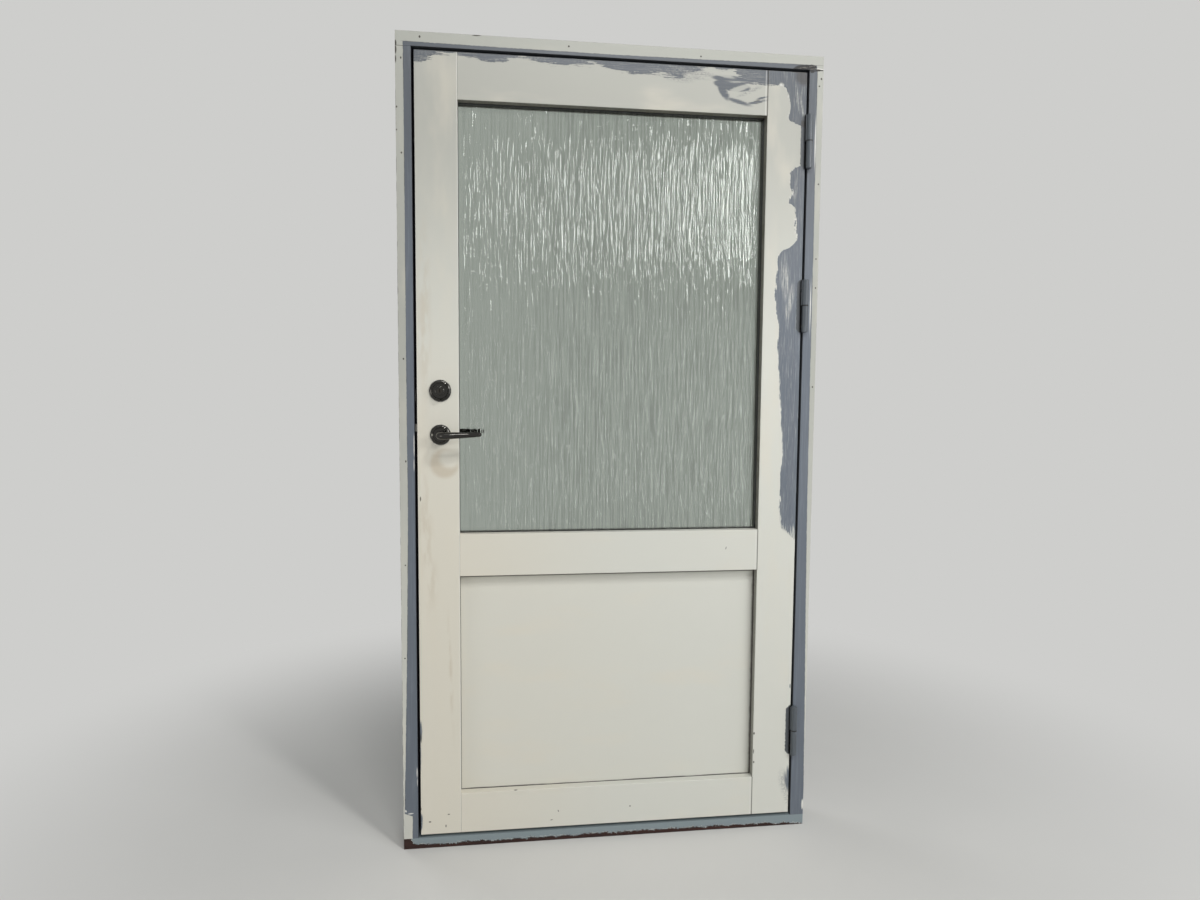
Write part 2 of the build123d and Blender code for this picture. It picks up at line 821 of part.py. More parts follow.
def cylinder_screws(clearance=0.0):
    """Bolts from the turn's rosette through the lock case into the cylinder's body."""
    length = leaf_back + rosette_height - (front + lip_thickness / 2)
    return [aimed(machine_bolt(length, clearance), (lever_x + side * cylinder_bolt_spacing / 2,
                                                    leaf_back + rosette_height,
                                                    cylinder_z + cylinder_bolt_rise), (0, -1, 0))
            for side in (-1, 1)]


def furniture_fixings(clearance=0.0):
    return rosette_bolts(clearance) + cylinder_screws(clearance)


def lever_rosettes():
    bore = neck_diameter / 2 + moving_clearance
    outer = outer_rosette(lever_rosette_diameter, bore, lever_height)
    inner = inner_rosette(lever_rosette_diameter, bore, lever_height)
    for cut in rosette_bolts(screw_clearance):
        outer = outer - cut
        inner = inner - cut
    return outer, inner


def cylinder_rosette():
    return outer_rosette(cylinder_rosette_diameter, cylinder_nose_diameter / 2 + spindle_fit, cylinder_z)


def turn_rosette():
    bore = turn_stem_diameter / 2 + moving_clearance
    shape = inner_rosette(cylinder_rosette_diameter, bore, cylinder_z)
    for cut in cylinder_screws(screw_clearance):
        shape = shape - cut
    return shape


def lock_cylinder():
    """Body in the leaf and a nose that stands out through its rosette, bored for the plug."""
    nose_y = front - cylinder_nose_length
    body_back = leaf_middle - case_thickness / 2 - moving_clearance
    nose = rod(cylinder_nose_diameter, (nose_y, front), lever_x, cylinder_z)
    rim = nose.edges().filter_by(GeomType.CIRCLE).sort_by(Axis.Y)[0]
    nose = fillet(rim, nose_ease)
    body = rod(cylinder_body_diameter, (front, body_back), lever_x, cylinder_z)
    shape = nose + body - rod(plug_diameter + 2 * plug_fit, (nose_y, body_back), lever_x, cylinder_z)
    for cut in cylinder_screws(screw_clearance):
        shape = shape - cut
    return shape


def tail_bar_space(clearance):
    half_x = tail_bar_thickness / 2 + clearance
    half_z = tail_bar_width / 2 + clearance
    y = (leaf_middle - case_thickness - clearance, leaf_back + rosette_height + clearance)
    return block((lever_x - half_x, lever_x + half_x), y, (cylinder_z - half_z, cylinder_z + half_z))


def cylinder_plug():
    face = front - cylinder_nose_length + keyway_setback
    end = leaf_middle - case_thickness / 2 - moving_clearance
    plug = rod(plug_diameter, (face, end), lever_x, cylinder_z)
    keyway = block((lever_x - keyway_width / 2, lever_x + keyway_width / 2), (face, face + keyway_depth),
                   (cylinder_z - keyway_height / 2, cylinder_z + keyway_height / 2))
    return plug - keyway - tail_bar_space(spindle_fit)


def thumb_turn():
    """Stem through the inner rosette with a rounded tab, upright when the bolt is drawn."""
    face = leaf_back + rosette_height + moving_clearance
    stem = rod(turn_stem_diameter, (leaf_middle + case_thickness / 2 + moving_clearance, face + arris),
               lever_x, cylinder_z)
    outline = Plane.XZ * SlotOverall(turn_tab_height, turn_tab_thickness, rotation=90)
    tab = Pos(lever_x, face + turn_tab_reach, cylinder_z) * extrude(outline, turn_tab_reach)
    outer = [edge for edge in tab.edges() if near(edge.center().Y, face + turn_tab_reach)]
    return fillet(outer, arris) + stem - tail_bar_space(spindle_fit)


def lever_blank():
    """Round-bar lever on its neck, modelled from z = 0 at the leaf's face, pointing to +X."""
    bend = lever_bend_radius
    radius = neck_diameter / 2
    tip_radius = lever_tip_diameter / 2
    neck = extrude(Circle(radius), lever_stand - bend)
    arc = Plane.XZ * RadiusArc((0, lever_stand - bend), (bend, lever_stand), bend)
    elbow = sweep(Plane.XY.offset(lever_stand - bend) * Circle(radius), path=arc)
    run = lever_reach - tip_radius - bend
    sections = []
    for index in range(lever_stations + 1):
        share = index / lever_stations
        slope = math.atan2(2 * lever_return * share, run)
        middle = (bend + run * share, 0, lever_stand - lever_return * share * share)
        place = Plane(origin=middle, x_dir=(0, 1, 0), z_dir=(math.cos(slope), 0, -math.sin(slope)))
        sections.append(place * Circle(radius + (tip_radius - radius) * share))
    bar = loft(sections)
    end = Pos(bend + run, 0, lever_stand - lever_return) * Sphere(tip_radius)
    return neck + elbow + bar + end


def lever(face_y, outward):
    """A lever placed on one side of the leaf, with its square socket for the spindle."""
    tilt = math.radians(lever_tilt)
    plane = Plane(origin=(lever_x, face_y, lever_height), x_dir=(math.cos(tilt), 0, math.sin(tilt)),
                  z_dir=(0, outward, 0))
    return plane * lever_blank() - spindle_space(spindle_fit)


def spindle_space(clearance):
    half = spindle_side / 2 + clearance
    y = (front - spindle_grip - clearance, leaf_back + spindle_grip + clearance)
    return block((lever_x - half, lever_x + half), y, (lever_height - half, lever_height + half))


def build_frame():
    save("lock_jamb", lock_jamb())
    save("hinge_jamb", hinge_jamb())
    save("head_jamb", head_jamb())
    save("threshold", threshold())
    save("corner_screws", *corner_screws())
    save("weather_seal", *weather_seal())
    save("strike_plate", strike_plate())
    save("strike_screws", *strike_screws())


def build_hinges():
    for place, height in hinge_heights.items():
        save(f"hinge_frame_half_{place}", hinge_frame_half(height))
        save(f"hinge_leaf_half_{place}", hinge_leaf_half(height))
    save("hinge_pins", *[hinge_pin(height) for height in hinge_heights.values()])
    save("hinge_washers", *[hinge_washer(height) for height in hinge_heights.values()])
    save("hinge_frame_screws", *hinge_frame_screws())
    save("hinge_leaf_screws", *hinge_leaf_screws())


def build_leaf():
    save("lock_stile", lock_stile())
    save("hinge_stile", hinge_stile())
    save("top_rail", rail(glass_top, leaf_top))
    save("middle_rail", rail(panel_top, glass_bottom))
    save("bottom_rail", rail(leaf_bottom, panel_bottom))
    save("rail_dowels", *rail_dowels())


def build_infill():
    save("outer_pane", pane((glass_front, glass_front + pane_thickness)))
    save("inner_pane", pane((glass_back - pane_thickness, glass_back)))
    save("spacer_frame", *spacer_frame())
    save("glazing_gasket", *edge_seal(glass_bottom, glass_top, gasket_thickness))
    save("lower_panel", lower_panel())
    save("panel_seal", *edge_seal(panel_bottom, panel_top, panel_seal_thickness))
    save("setting_blocks", *setting_blocks())
    sides = ("bottom", "top", "left", "right")
    for side, bar in zip(sides, beads(glass_bottom, glass_top, glass_back)):
        save(f"glazing_bead_{side}", bar)
    for side, bar in zip(sides, beads(panel_bottom, panel_top, panel_front + unit_thickness)):
        save(f"panel_bead_{side}", bar)


def build_lock():
    save("lock_case", lock_case())
    save("lock_cover", lock_cover())
    save("lock_forend", lock_forend())
    save("forend_screws", *forend_screws())
    save("follower", follower())
    save("latch_bolt", latch_bolt())
    save("dead_bolt", dead_bolt())
    save("bolt_cam", bolt_cam())
    save("tail_bar", tail_bar_space(0))
    save("lock_cylinder", lock_cylinder())
    save("cylinder_plug", cylinder_plug())


def build_furniture():
    outer, inner = lever_rosettes()
    save("outer_lever_rosette", outer)
    save("inner_lever_rosette", inner)
    save("rosette_bolts", *rosette_bolts())
    save("cylinder_rosette", cylinder_rosette())
    save("turn_rosette", turn_rosette())
    save("cylinder_screws", *cylinder_screws())
    save("thumb_turn", thumb_turn())
    save("outer_lever", lever(front, -1))
    save("inner_lever", lever(leaf_back, 1))
    save("spindle", spindle_space(0))


build_frame()
build_hinges()
build_leaf()
build_infill()
build_lock()
build_furniture()
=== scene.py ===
import math
import random

import bmesh
import bpy
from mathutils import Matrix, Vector, noise


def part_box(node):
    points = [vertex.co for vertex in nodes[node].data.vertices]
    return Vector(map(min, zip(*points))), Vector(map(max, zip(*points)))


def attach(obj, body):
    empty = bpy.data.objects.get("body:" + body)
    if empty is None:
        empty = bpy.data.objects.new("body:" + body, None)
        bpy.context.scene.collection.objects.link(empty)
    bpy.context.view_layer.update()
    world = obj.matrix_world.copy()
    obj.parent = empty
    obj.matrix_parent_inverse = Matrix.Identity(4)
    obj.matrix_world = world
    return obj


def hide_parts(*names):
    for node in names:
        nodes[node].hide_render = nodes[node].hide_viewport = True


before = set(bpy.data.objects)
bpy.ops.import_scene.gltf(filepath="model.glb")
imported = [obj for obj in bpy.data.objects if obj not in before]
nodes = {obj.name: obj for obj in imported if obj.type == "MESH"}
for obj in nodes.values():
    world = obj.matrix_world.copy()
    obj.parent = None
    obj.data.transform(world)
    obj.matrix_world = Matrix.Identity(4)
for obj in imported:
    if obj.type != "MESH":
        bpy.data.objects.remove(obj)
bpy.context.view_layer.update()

# Half-glazed door in its frame. Metres, in the frame's own axes: X to the hinge side, Y into the
# building, Z up.
front = -0.0525  # outside face of frame and leaf
halfLeaf = 0.4735
leafFoot = 0.035
leafTop = 1.92


# Shader sums

def rgb(red, green, blue):
    # a colour as a screen shows it, 0 to 255, as the linear one that nodes take
    def linear(level):
        level = level / 255
        return level / 12.92 if level <= 0.04045 else ((level + 0.055) / 1.055) ** 2.4
    return (linear(red), linear(green), linear(blue), 1.0)


class Wire:
    # an output that takes part in sums: each sum adds a Math node
    def __init__(self, finish, socket):
        self.finish = finish
        self.socket = socket

    def other(self, name):
        return Wire(self.finish, self.socket.node.outputs[name])

    def maths(self, operation, *values):
        return self.finish.add("Math", {"operation": operation}, dict(enumerate(values)))

    def __add__(self, other):
        return self.maths("ADD", self, other)

    def __radd__(self, other):
        return self.maths("ADD", other, self)

    def __sub__(self, other):
        return self.maths("SUBTRACT", self, other)

    def __rsub__(self, other):
        return self.maths("SUBTRACT", other, self)

    def __mul__(self, other):
        return self.maths("MULTIPLY", self, other)

    def __rmul__(self, other):
        return self.maths("MULTIPLY", other, self)

    def __truediv__(self, other):
        return self.maths("DIVIDE", self, other)

    def __rtruediv__(self, other):
        return self.maths("DIVIDE", other, self)

    def __neg__(self):
        return self.maths("MULTIPLY", self, -1)

    def __pow__(self, other):
        return self.maths("POWER", self, other)

    def __or__(self, other):
        return self.maths("MAXIMUM", self, other)

    def __and__(self, other):
        return self.maths("MINIMUM", self, other)

    def __abs__(self):
        return self.maths("ABSOLUTE", self)


class Finish:
    # one material, or the world, and the nodes in it
    def __init__(self, name, owner=None):
        self.owner = owner or bpy.data.materials.new(name)
        self.owner.use_nodes = True
        self.tree = self.owner.node_tree
        self.tree.nodes.clear()

    def add(self, kind, settings=None, sockets=None):
        # the settings go first, because some of them change the sockets
        node = self.tree.nodes.new("ShaderNode" + kind)
        for name, value in (settings or {}).items():
            if name == "curve":
                self.setCurve(node.mapping, value)
            else:
                setattr(node, name, value)
        for name, value in (sockets or {}).items():
            if isinstance(value, Wire):
                self.tree.links.new(value.socket, node.inputs[name])
            else:
                node.inputs[name].default_value = value
        return Wire(self, node.outputs[0]) if node.outputs else None

    def setCurve(self, mapping, points):
        mapping.use_clip = False
        line = mapping.curves[0]
        while len(line.points) < len(points):
            line.points.new(0.5, 0.5)
        for point, (across, up) in zip(line.points, sorted(points)):
            point.location = (across, up)
            point.handle_type = "VECTOR"
        mapping.update()

    def place(self):
        # where a point of the piece is, in metres, with its body at rest
        vector = self.add("TexCoord").other("Object")
        split = self.add("SeparateXYZ", {}, {0: vector})
        return vector, split.other("X"), split.other("Y"), split.other("Z")

    def stretched(self, vector, scales):
        return self.add("VectorMath", {"operation": "MULTIPLY"}, {0: vector, 1: scales})

    def moved(self, vector, shift):
        return self.add("VectorMath", {"operation": "ADD"}, {0: vector, 1: shift})

    def length(self, vector):
        return self.add("VectorMath", {"operation": "LENGTH"}, {0: vector}).other("Value")

    def dimmed(self, colour, share):
        return self.add("VectorMath", {"operation": "SCALE"}, {0: colour[:3], "Scale": share})

    def cloud(self, vector, scales, detail=3.0, rough=0.5):
        # soft noise, about 0.5 on average; scales are features to the metre on each axis
        return self.add("TexNoise", {}, {"Vector": self.stretched(vector, scales), "Scale": 1.0,
                                         "Detail": detail, "Roughness": rough})

    def wobble(self, vector, scales, detail=4.0, rough=0.7):
        # the same, about 0 on average
        return self.cloud(vector, scales, detail, rough) - 0.5

    def rise(self, value, low, high):
        # 0 below low, 1 above high, smooth between; low may be the higher of the two
        return self.add("MapRange", {"interpolation_type": "SMOOTHSTEP"},
                        {"Value": value, "From Min": low, "From Max": high})

    def blend(self, share, first, second):
        return self.add("Mix", {"data_type": "RGBA"}, {0: share, 6: first, 7: second}).other(2)

    def along(self, value, points):
        # a height read off a drawn line: points are (place, height) in metres, in their order
        low, high = points[0][0], points[-1][0]
        reach = max(height for place, height in points)
        line = [((place - low) / (high - low), height / reach) for place, height in points]
        share = (value - low) / (high - low)
        return self.add("FloatCurve", {"curve": line}, {"Value": share}) * reach

    def dab(self, vector, spot):
        # a soft oval mark: middle x and z, half length, half height, turn in degrees, softness
        x, z, length, height, turn, soft = spot
        near = self.add("Mapping", {"vector_type": "TEXTURE"},
                        {"Vector": vector, "Location": (x, front, z),
                         "Rotation": (0, -math.radians(turn), 0), "Scale": (length, 1.0, height)})
        return self.rise(self.length(self.stretched(near, (1, 0, 1))), 1 + soft, 1 - soft)

    def dabs(self, vector, spots):
        total = self.dab(vector, spots[0])
        for spot in spots[1:]:
            total = total | self.dab(vector, spot)
        return total

    def shade(self, sockets, height=None, depth=0.001):
        # the surface itself; height is a wire that a Bump node turns into relief depth metres deep
        sockets = dict(sockets)
        if height is not None:
            sockets["Normal"] = self.add("Bump", {}, {"Height": height, "Distance": depth})
        surface = self.add("BsdfPrincipled", {}, sockets)
        self.add("OutputMaterial", {}, {"Surface": surface})
        return self.owner


def link(name, data):
    # a new object in the scene
    thing = bpy.data.objects.new(name, data)
    bpy.context.scene.collection.objects.link(thing)
    return thing


def meshPiece(name, mesh, material):
    data = bpy.data.meshes.new(name)
    mesh.to_mesh(data)
    mesh.free()
    data.materials.append(material)
    return link(name, data)


def cover(material, *names):
    # a CAD piece keeps its shape and gets a better finish
    for name in names:
        piece = nodes[name]
        piece.data.materials.clear()
        piece.data.materials.append(material)


# Camera

camera = {
    "place": (-0.3027, -2.0688, 1.1539),
    "turn": (85.459, -0.443, -7.594),
    "sensor": 36,
    "lens": 24.88,
}


def makeCamera():
    view = link("camera", bpy.data.cameras.new("camera"))
    view.location = camera["place"]
    view.rotation_euler = [math.radians(angle) for angle in camera["turn"]]
    view.data.sensor_width = camera["sensor"]
    view.data.lens = camera["lens"]
    bpy.context.scene.camera = view
    bpy.context.scene.view_settings.view_transform = "Standard"


makeCamera()
print("camera ready")


# Floor, lamps and the pale room

plainWhite = (1.0, 1.0, 0.99)
warmWhite = (1.0, 0.99, 0.97)

stage = {
    "floor": rgb(214, 213, 210),
    "background": rgb(206, 206, 204),
    "room": (0.22, 0.23, 0.235, 1.0),
    "floorReach": 14,
    # the far floor runs into the background, so no horizon shows
    "floorFades": (0.7, 2.1),
    # place, size and colour of each lamp, and its power in watts
    "lamps": {
        "window": ((2.68, -2.9, 2.38), (2.3, 0.85), plainWhite, 54),
        "sideWindow": ((2.25, -2.7, 0.95), (0.8, 1.3), (0.97, 0.99, 1.0), 10),
        "ceiling": ((1.3, -2.4, 3.9), (0.3, 0.3), warmWhite, 40),
        "bulb": ((0.15, -2.6, 3.3), (0.8, 0.2), warmWhite, 21),
        "skylight": ((-0.5, -2.9, 3.7), (2.4, 0.9), (1.0, 1.0, 1.0), 8),
        "low": ((-3.1, -1.7, 0.75), (1.6, 1.2), (1.0, 0.97, 0.92), 15),
        "rear": ((-2.7, 2.9, 3.1), (1.8, 1.2), plainWhite, 30),  # for the inside of the door only
    },
    "aim": (0.0, 0.0, 1.0),
}


def directRays(finish):
    # 1 for what the camera, the metal and the glass show
    path = finish.add("LightPath")
    seen = path.other("Is Camera Ray") | path.other("Is Glossy Ray")
    return seen | path.other("Is Transmission Ray")


def makeFloorFinish():
    finish = Finish("floor")
    vector, x, y, z = finish.place()
    tone = finish.cloud(vector, (3, 3, 3)) * 0.06 + 0.97
    colour = finish.dimmed(stage["floor"], tone)
    near = finish.add("BsdfPrincipled", {}, {"Base Color": colour, "Roughness": 0.9})
    far = finish.add("Emission", {}, {"Color": stage["background"]})
    share = finish.rise(finish.length(vector), *stage["floorFades"]) * directRays(finish)
    surface = finish.add("MixShader", {}, {0: share, 1: near, 2: far})
    finish.add("OutputMaterial", {}, {"Surface": surface})
    return finish.owner


def makeFloor():
    mesh = bmesh.new()
    reach = stage["floorReach"]
    mesh.faces.new([mesh.verts.new((reach * x, reach * y, 0))
                    for x, y in ((-1, -1), (1, -1), (1, 1), (-1, 1))])
    floor = meshPiece("floor", mesh, makeFloorFinish())


def makeLamps():
    for name, (place, size, colour, power) in stage["lamps"].items():
        lamp = bpy.data.lights.new(name, "AREA")
        lamp.shape = "RECTANGLE"
        lamp.size, lamp.size_y = size
        lamp.energy = power
        lamp.color = colour
        holder = link(name, lamp)
        holder.location = place
        away = Vector(place) - Vector(stage["aim"])
        holder.rotation_euler = away.to_track_quat("Z", "Y").to_euler()


def makeRoom():
    world = bpy.data.worlds.new("room")
    bpy.context.scene.world = world
    finish = Finish("room", world)
    colour = finish.blend(directRays(finish), stage["room"], stage["background"])
    shine = finish.add("Background", {}, {"Color": colour, "Strength": 1.0})
    finish.add("OutputWorld", {}, {"Surface": shine})


makeFloor()
makeLamps()
makeRoom()
print("stage ready")


# Paint

paint = {
    "cream": rgb(211, 211, 203),
    # warmer cream: random patches, and painted light at the lower lock side
    "creamWarm": rgb(219, 211, 194),
    # painted shade: the leaf's cream and the frame's cream darker towards the top
    "creamTop": rgb(166, 166, 159),
    "creamFrame": rgb(168, 169, 162),
    "grey": rgb(101, 108, 118),
    "greyThin": rgb(134, 141, 150),
    # painted shade: the blue-grey coat darker towards the top, thick and thin
    "greyTop": rgb(84, 89, 96),
    "greyTopThin": rgb(112, 118, 125),
    # the undercoat where the coats came off, also used for a painted highlight along the joints of
    # stile and rail
    "under": rgb(228, 227, 222),
    # dirt and knocks, with painted shade along the grey coat's ridge, at the leaf's torn corner and
    # under the middle rail
    "dirtAndShade": rgb(52, 46, 40),
    # painted shade: the rebate's faces and the sill's top under the leaf, and a darker one for the
    # gaps, the rebate's arris and the torn corner
    "rebate": rgb(62, 66, 73),
    "gap": rgb(20, 20, 22),
    # painted shade on the sides of the openings
    "reveal": rgb(96, 91, 76),
    "hingeShade": rgb(82, 86, 90),
    # stains, and the painted shadow and reflection below the lever rosette
    "stainAndShadow": rgb(186, 172, 150),
    "grainDepth": 0.00012,
    "rough": 0.44,
    "shine": 0.4,
}

frameMarks = {
    # inner edge of the cream margin: (height, distance from the middle)
    "lockSide": [(0.0, 0.494), (0.024, 0.494), (0.089, 0.4925), (0.0915, 0.5118), (0.128, 0.5112),
                 (0.25, 0.508), (0.381, 0.5049), (0.5, 0.502), (0.629, 0.4999), (0.75, 0.498),
                 (0.873, 0.4964), (1.018, 0.497), (1.231, 0.4971), (1.578, 0.4969), (1.96, 0.4969)],
    "hingeSide": [(0.0, 0.517), (0.04, 0.517), (0.044, 0.5118), (0.064, 0.5112), (0.068, 0.5155),
                  (0.174, 0.5136), (0.336, 0.5115), (0.5, 0.5085), (0.654, 0.5059), (0.85, 0.5035),
                  (1.118, 0.5019), (1.472, 0.5013), (1.663, 0.5004), (1.96, 0.4994)],
    "head": [(-0.515, 1.9365), (-0.275, 1.935), (-0.04, 1.9343), (0.203, 1.9355), (0.428, 1.938),
             (0.515, 1.938)],
    # nail holes and knocks: middle x and z, half length, half height, turn, softness
    "knocks": {
        "head": [(-0.4591, 1.9481, 0.0021, 0.0028, 0, 0.3),
                 (-0.3295, 1.9585, 0.0095, 0.0014, 2, 0.4),
                 (-0.1142, 1.9468, 0.0022, 0.0022, 0, 0.3), (0.2053, 1.9423, 0.002, 0.002, 0, 0.4),
                 (-0.514, 1.931, 0.0028, 0.007, 0, 0.3)],
        "lockSide": [(-0.502, 1.8989, 0.0016, 0.0026, 0, 0.4),
                     (-0.5127, 1.7889, 0.0018, 0.0022, 0, 0.3),
                     (-0.5132, 1.7373, 0.0014, 0.0018, 0, 0.4),
                     (-0.5027, 1.6858, 0.0018, 0.0022, 0, 0.4),
                     (-0.5033, 1.21, 0.0018, 0.0022, 0, 0.4),
                     (-0.5004, 0.9663, 0.0016, 0.0026, 0, 0.4),
                     (-0.504, 0.7145, 0.0017, 0.0017, 0, 0.5),
                     (-0.5074, 0.4847, 0.0017, 0.0017, 0, 0.4),
                     (-0.514, 1.9165, 0.0026, 0.0095, 0, 0.4),
                     (-0.5142, 1.896, 0.002, 0.008, 0, 0.5), (-0.515, 1.37, 0.0012, 0.011, 0, 0.5),
                     (-0.5105, 0.128, 0.0008, 0.002, 0, 0.5)],
        "hingeSide": [(0.5099, 1.9063, 0.0022, 0.0026, 10, 0.3),
                      (0.5051, 1.8886, 0.002, 0.0019, 0, 0.3),
                      (0.5095, 1.6529, 0.0018, 0.002, 0, 0.3),
                      (0.5087, 1.47, 0.0017, 0.002, 0, 0.4),
                      (0.5095, 1.3984, 0.0017, 0.002, 0, 0.4),
                      (0.5086, 1.1508, 0.0017, 0.0022, 0, 0.4)],
    },
    # bare light spots where the coat came off
    "chips": {"lockSide": [(-0.4806, 1.004, 0.0011, 0.026, 0, 0.3),
                           (-0.4812, 0.958, 0.0008, 0.014, 0, 0.4),
                           (-0.4812, 0.196, 0.0012, 0.012, 0, 0.4),
                           (-0.4808, 0.171, 0.0007, 0.009, 0, 0.5),
                           (-0.5095, 0.0985, 0.0022, 0.0032, 30, 0.4),
                           (-0.4975, 0.0915, 0.0065, 0.0016, 4, 0.4)],
              "hingeSide": [(0.4985, 1.752, 0.0014, 0.055, 0, 0.6),
                            (0.4975, 1.352, 0.0014, 0.055, 0, 0.6),
                            (0.5125, 0.054, 0.0026, 0.013, 0, 0.3)],
              "head": [(0.507, 1.9295, 0.009, 0.0008, -6, 0.5)]},
    # torn corner over the top hinge, painted near black as the shade inside the tear
    "torn": {"head": [(0.4455, 1.9285, 0.013, 0.0036, 26, 0.2),
                      (0.469, 1.9318, 0.0265, 0.0062, 3, 0.15),
                      (0.4845, 1.9325, 0.0125, 0.0062, 0, 0.2),
                      (0.5045, 1.9272, 0.0145, 0.0014, -6, 0.4)],
             "hingeSide": [(0.4855, 1.9235, 0.0065, 0.0042, 0, 0.3),
                           (0.4985, 1.925, 0.014, 0.0014, 4, 0.4)]},
    # the outer arris is dark where the coat has split
    "outerEdge": (0.5138, 0.5146),
    # the rebate's faces and back, and the level joint between head and jambs
    "rebateSide": 0.4795,
    "rebateHead": 1.9265,
    "rebateBack": 0.0125,
    "joint": 1.926,
    # how strongly each mark shows: 1 is full, and over 1 its soft edge fills in too
    "strength": {"knocks": 0.97, "joint": 0.7, "split": 0.7, "hollow": 0.35, "torn": 1.16,
                 "shadow": 0.86, "chips": 0.85, "age": 0.7},
}


def paintedTimber(finish, vector, z, upright, base, grey=0.0, dirtAndShade=0.0, shadow=None, bare=None,
                  rim=None):
    # coats on planed wood: grey is the share of the blue-grey coat over the cream one, and shadow a
    # share of painted shade and its colour. The dark marks are dirt and painted shade, the pale
    # marks bare spots and a painted highlight.
    brush = finish.cloud(vector, (260, 260, 9) if upright else (9, 260, 260), 4.0, 0.6)
    fine = finish.cloud(vector, (900, 900, 900), 2.0)
    cloudy = finish.cloud(vector, (14, 14, 5) if upright else (5, 14, 14))
    cream = finish.blend(finish.rise(cloudy, 0.5, 0.8) * 0.3, base, paint["creamWarm"])
    streak = finish.rise(brush, 0.45, 0.75)
    blue = finish.blend(streak * 0.3, paint["grey"], paint["greyThin"])
    # painted shade: the blue-grey coat darker towards the top
    blueTop = finish.blend(streak * 0.3, paint["greyTop"], paint["greyTopThin"])
    blue = finish.blend(finish.rise(z, 1.3, 1.85), blue, blueTop)
    if rim is not None:
        cream = finish.blend(rim, cream, paint["under"])
    colour = finish.blend(grey, cream, blue)
    if bare is not None:
        colour = finish.blend(bare, colour, paint["under"])
    if shadow is not None:
        colour = finish.blend(shadow[0], colour, shadow[1])
    colour = finish.blend(dirtAndShade, colour, paint["dirtAndShade"])
    rough = paint["rough"] - grey * 0.05 + (fine - 0.5) * 0.12
    height = brush * 0.7 + fine * 0.3 + grey * 0.8
    return finish.shade({"Base Color": colour, "Roughness": rough,
                         "Specular IOR Level": paint["shine"]}, height, paint["grainDepth"])


def edged(finish, vector, value, limit, wander=0.0022, soft=0.0004):
    # 1 where value is under limit, along a line that wanders a little
    drift = finish.wobble(vector, (140, 140, 140), 3.0, 0.6) * wander
    return finish.rise(value + drift, limit + soft, limit - soft)


def makeFrameFinish(name, side):
    finish = Finish(name)
    vector, x, y, z = finish.place()
    strength = frameMarks["strength"]
    reveal = frameMarks["rebateSide"]
    if side == "head":
        margin = finish.along(x, frameMarks["head"])
        grey = edged(finish, vector, z, margin) & edged(finish, vector, abs(x), 0.4975, 0.001)
        soffit = frameMarks["rebateHead"]
        rebate = finish.rise(z, soffit + 0.0003, soffit - 0.0003)
        shadow = finish.rise(z, soffit + 0.0011, soffit + 0.0003)
        shadow = shadow * finish.rise(abs(x), reveal + 0.0003, reveal - 0.0003)
    else:
        margin = finish.along(z, frameMarks[side])
        grey = edged(finish, vector, abs(x), margin)
        rebate = finish.rise(abs(x), reveal + 0.0003, reveal - 0.0003)
        shadow = finish.rise(abs(x), reveal + 0.0008, reveal)
    inside = finish.rise(y, front + 0.0008, front + 0.0026)
    # the coats stop at the rebate; its faces are painted dark as painted shade, for the shade in
    # the gap round the shut leaf
    grey = grey & finish.rise(y, front + 0.004, front + 0.002)
    back = frameMarks["rebateBack"]
    rebate = rebate * inside * finish.rise(y, back + 0.001, back - 0.001)
    onFace = finish.rise(y, front + 0.004, front + 0.003)
    joint = finish.rise(abs(z - frameMarks["joint"]), 0.001, 0.0004)
    joint = joint * finish.rise(abs(x), 0.4965, 0.498)
    knocks = finish.dabs(vector, frameMarks["knocks"][side]) | joint * strength["joint"]
    if side == "lockSide":
        split = finish.rise(finish.cloud(vector, (20, 20, 34)), 0.42, 0.6)
        arris = finish.rise(-x, *frameMarks["outerEdge"])
        knocks = knocks | arris * split * strength["split"]
    knocks = knocks * onFace
    # painted shade: the torn corner near black, as the shade inside the tear
    if side in frameMarks["torn"]:
        ragged = finish.wobble(vector, (110, 110, 420), 3.0) * 0.004
        frayed = finish.moved(vector, finish.add("CombineXYZ", {}, {0: ragged, 2: ragged}))
        shadow = shadow | finish.dabs(frayed, frameMarks["torn"][side]) * strength["torn"]
    # painted shadow: a dark line along the ridge of the grey coat, where the ridge casts its shade
    ridge = finish.rise(abs((z if side == "head" else abs(x)) - margin), 0.0013, 0.0004)
    broken = finish.rise(finish.cloud(vector, (30, 30, 30), 2.0), 0.35, 0.6)
    knocks = knocks | ridge * broken * onFace * strength["hollow"]
    bare = finish.dabs(vector, frameMarks["chips"][side]) * onFace * strength["chips"]
    # painted shade: the frame's cream darker towards the top
    low = finish.rise(z, 1.5, 0.2) * strength["age"]
    age = finish.blend(low, paint["creamFrame"], paint["cream"])
    # the dark marks are knocks, joints and the painted ridge shadow
    dirtAndShade = knocks * strength["knocks"]
    dark = rebate | shadow * onFace * strength["shadow"]
    darkColour = finish.blend(rebate, paint["gap"], paint["rebate"])
    return paintedTimber(finish, vector, z, side != "head", age, grey, dirtAndShade, (dark, darkColour),
                         bare)


cover(makeFrameFinish("lockJambPaint", "lockSide"), "lock_jamb")
cover(makeFrameFinish("hingeJambPaint", "hingeSide"), "hinge_jamb")
cover(makeFrameFinish("headPaint", "head"), "head_jamb")
print("frame painted")


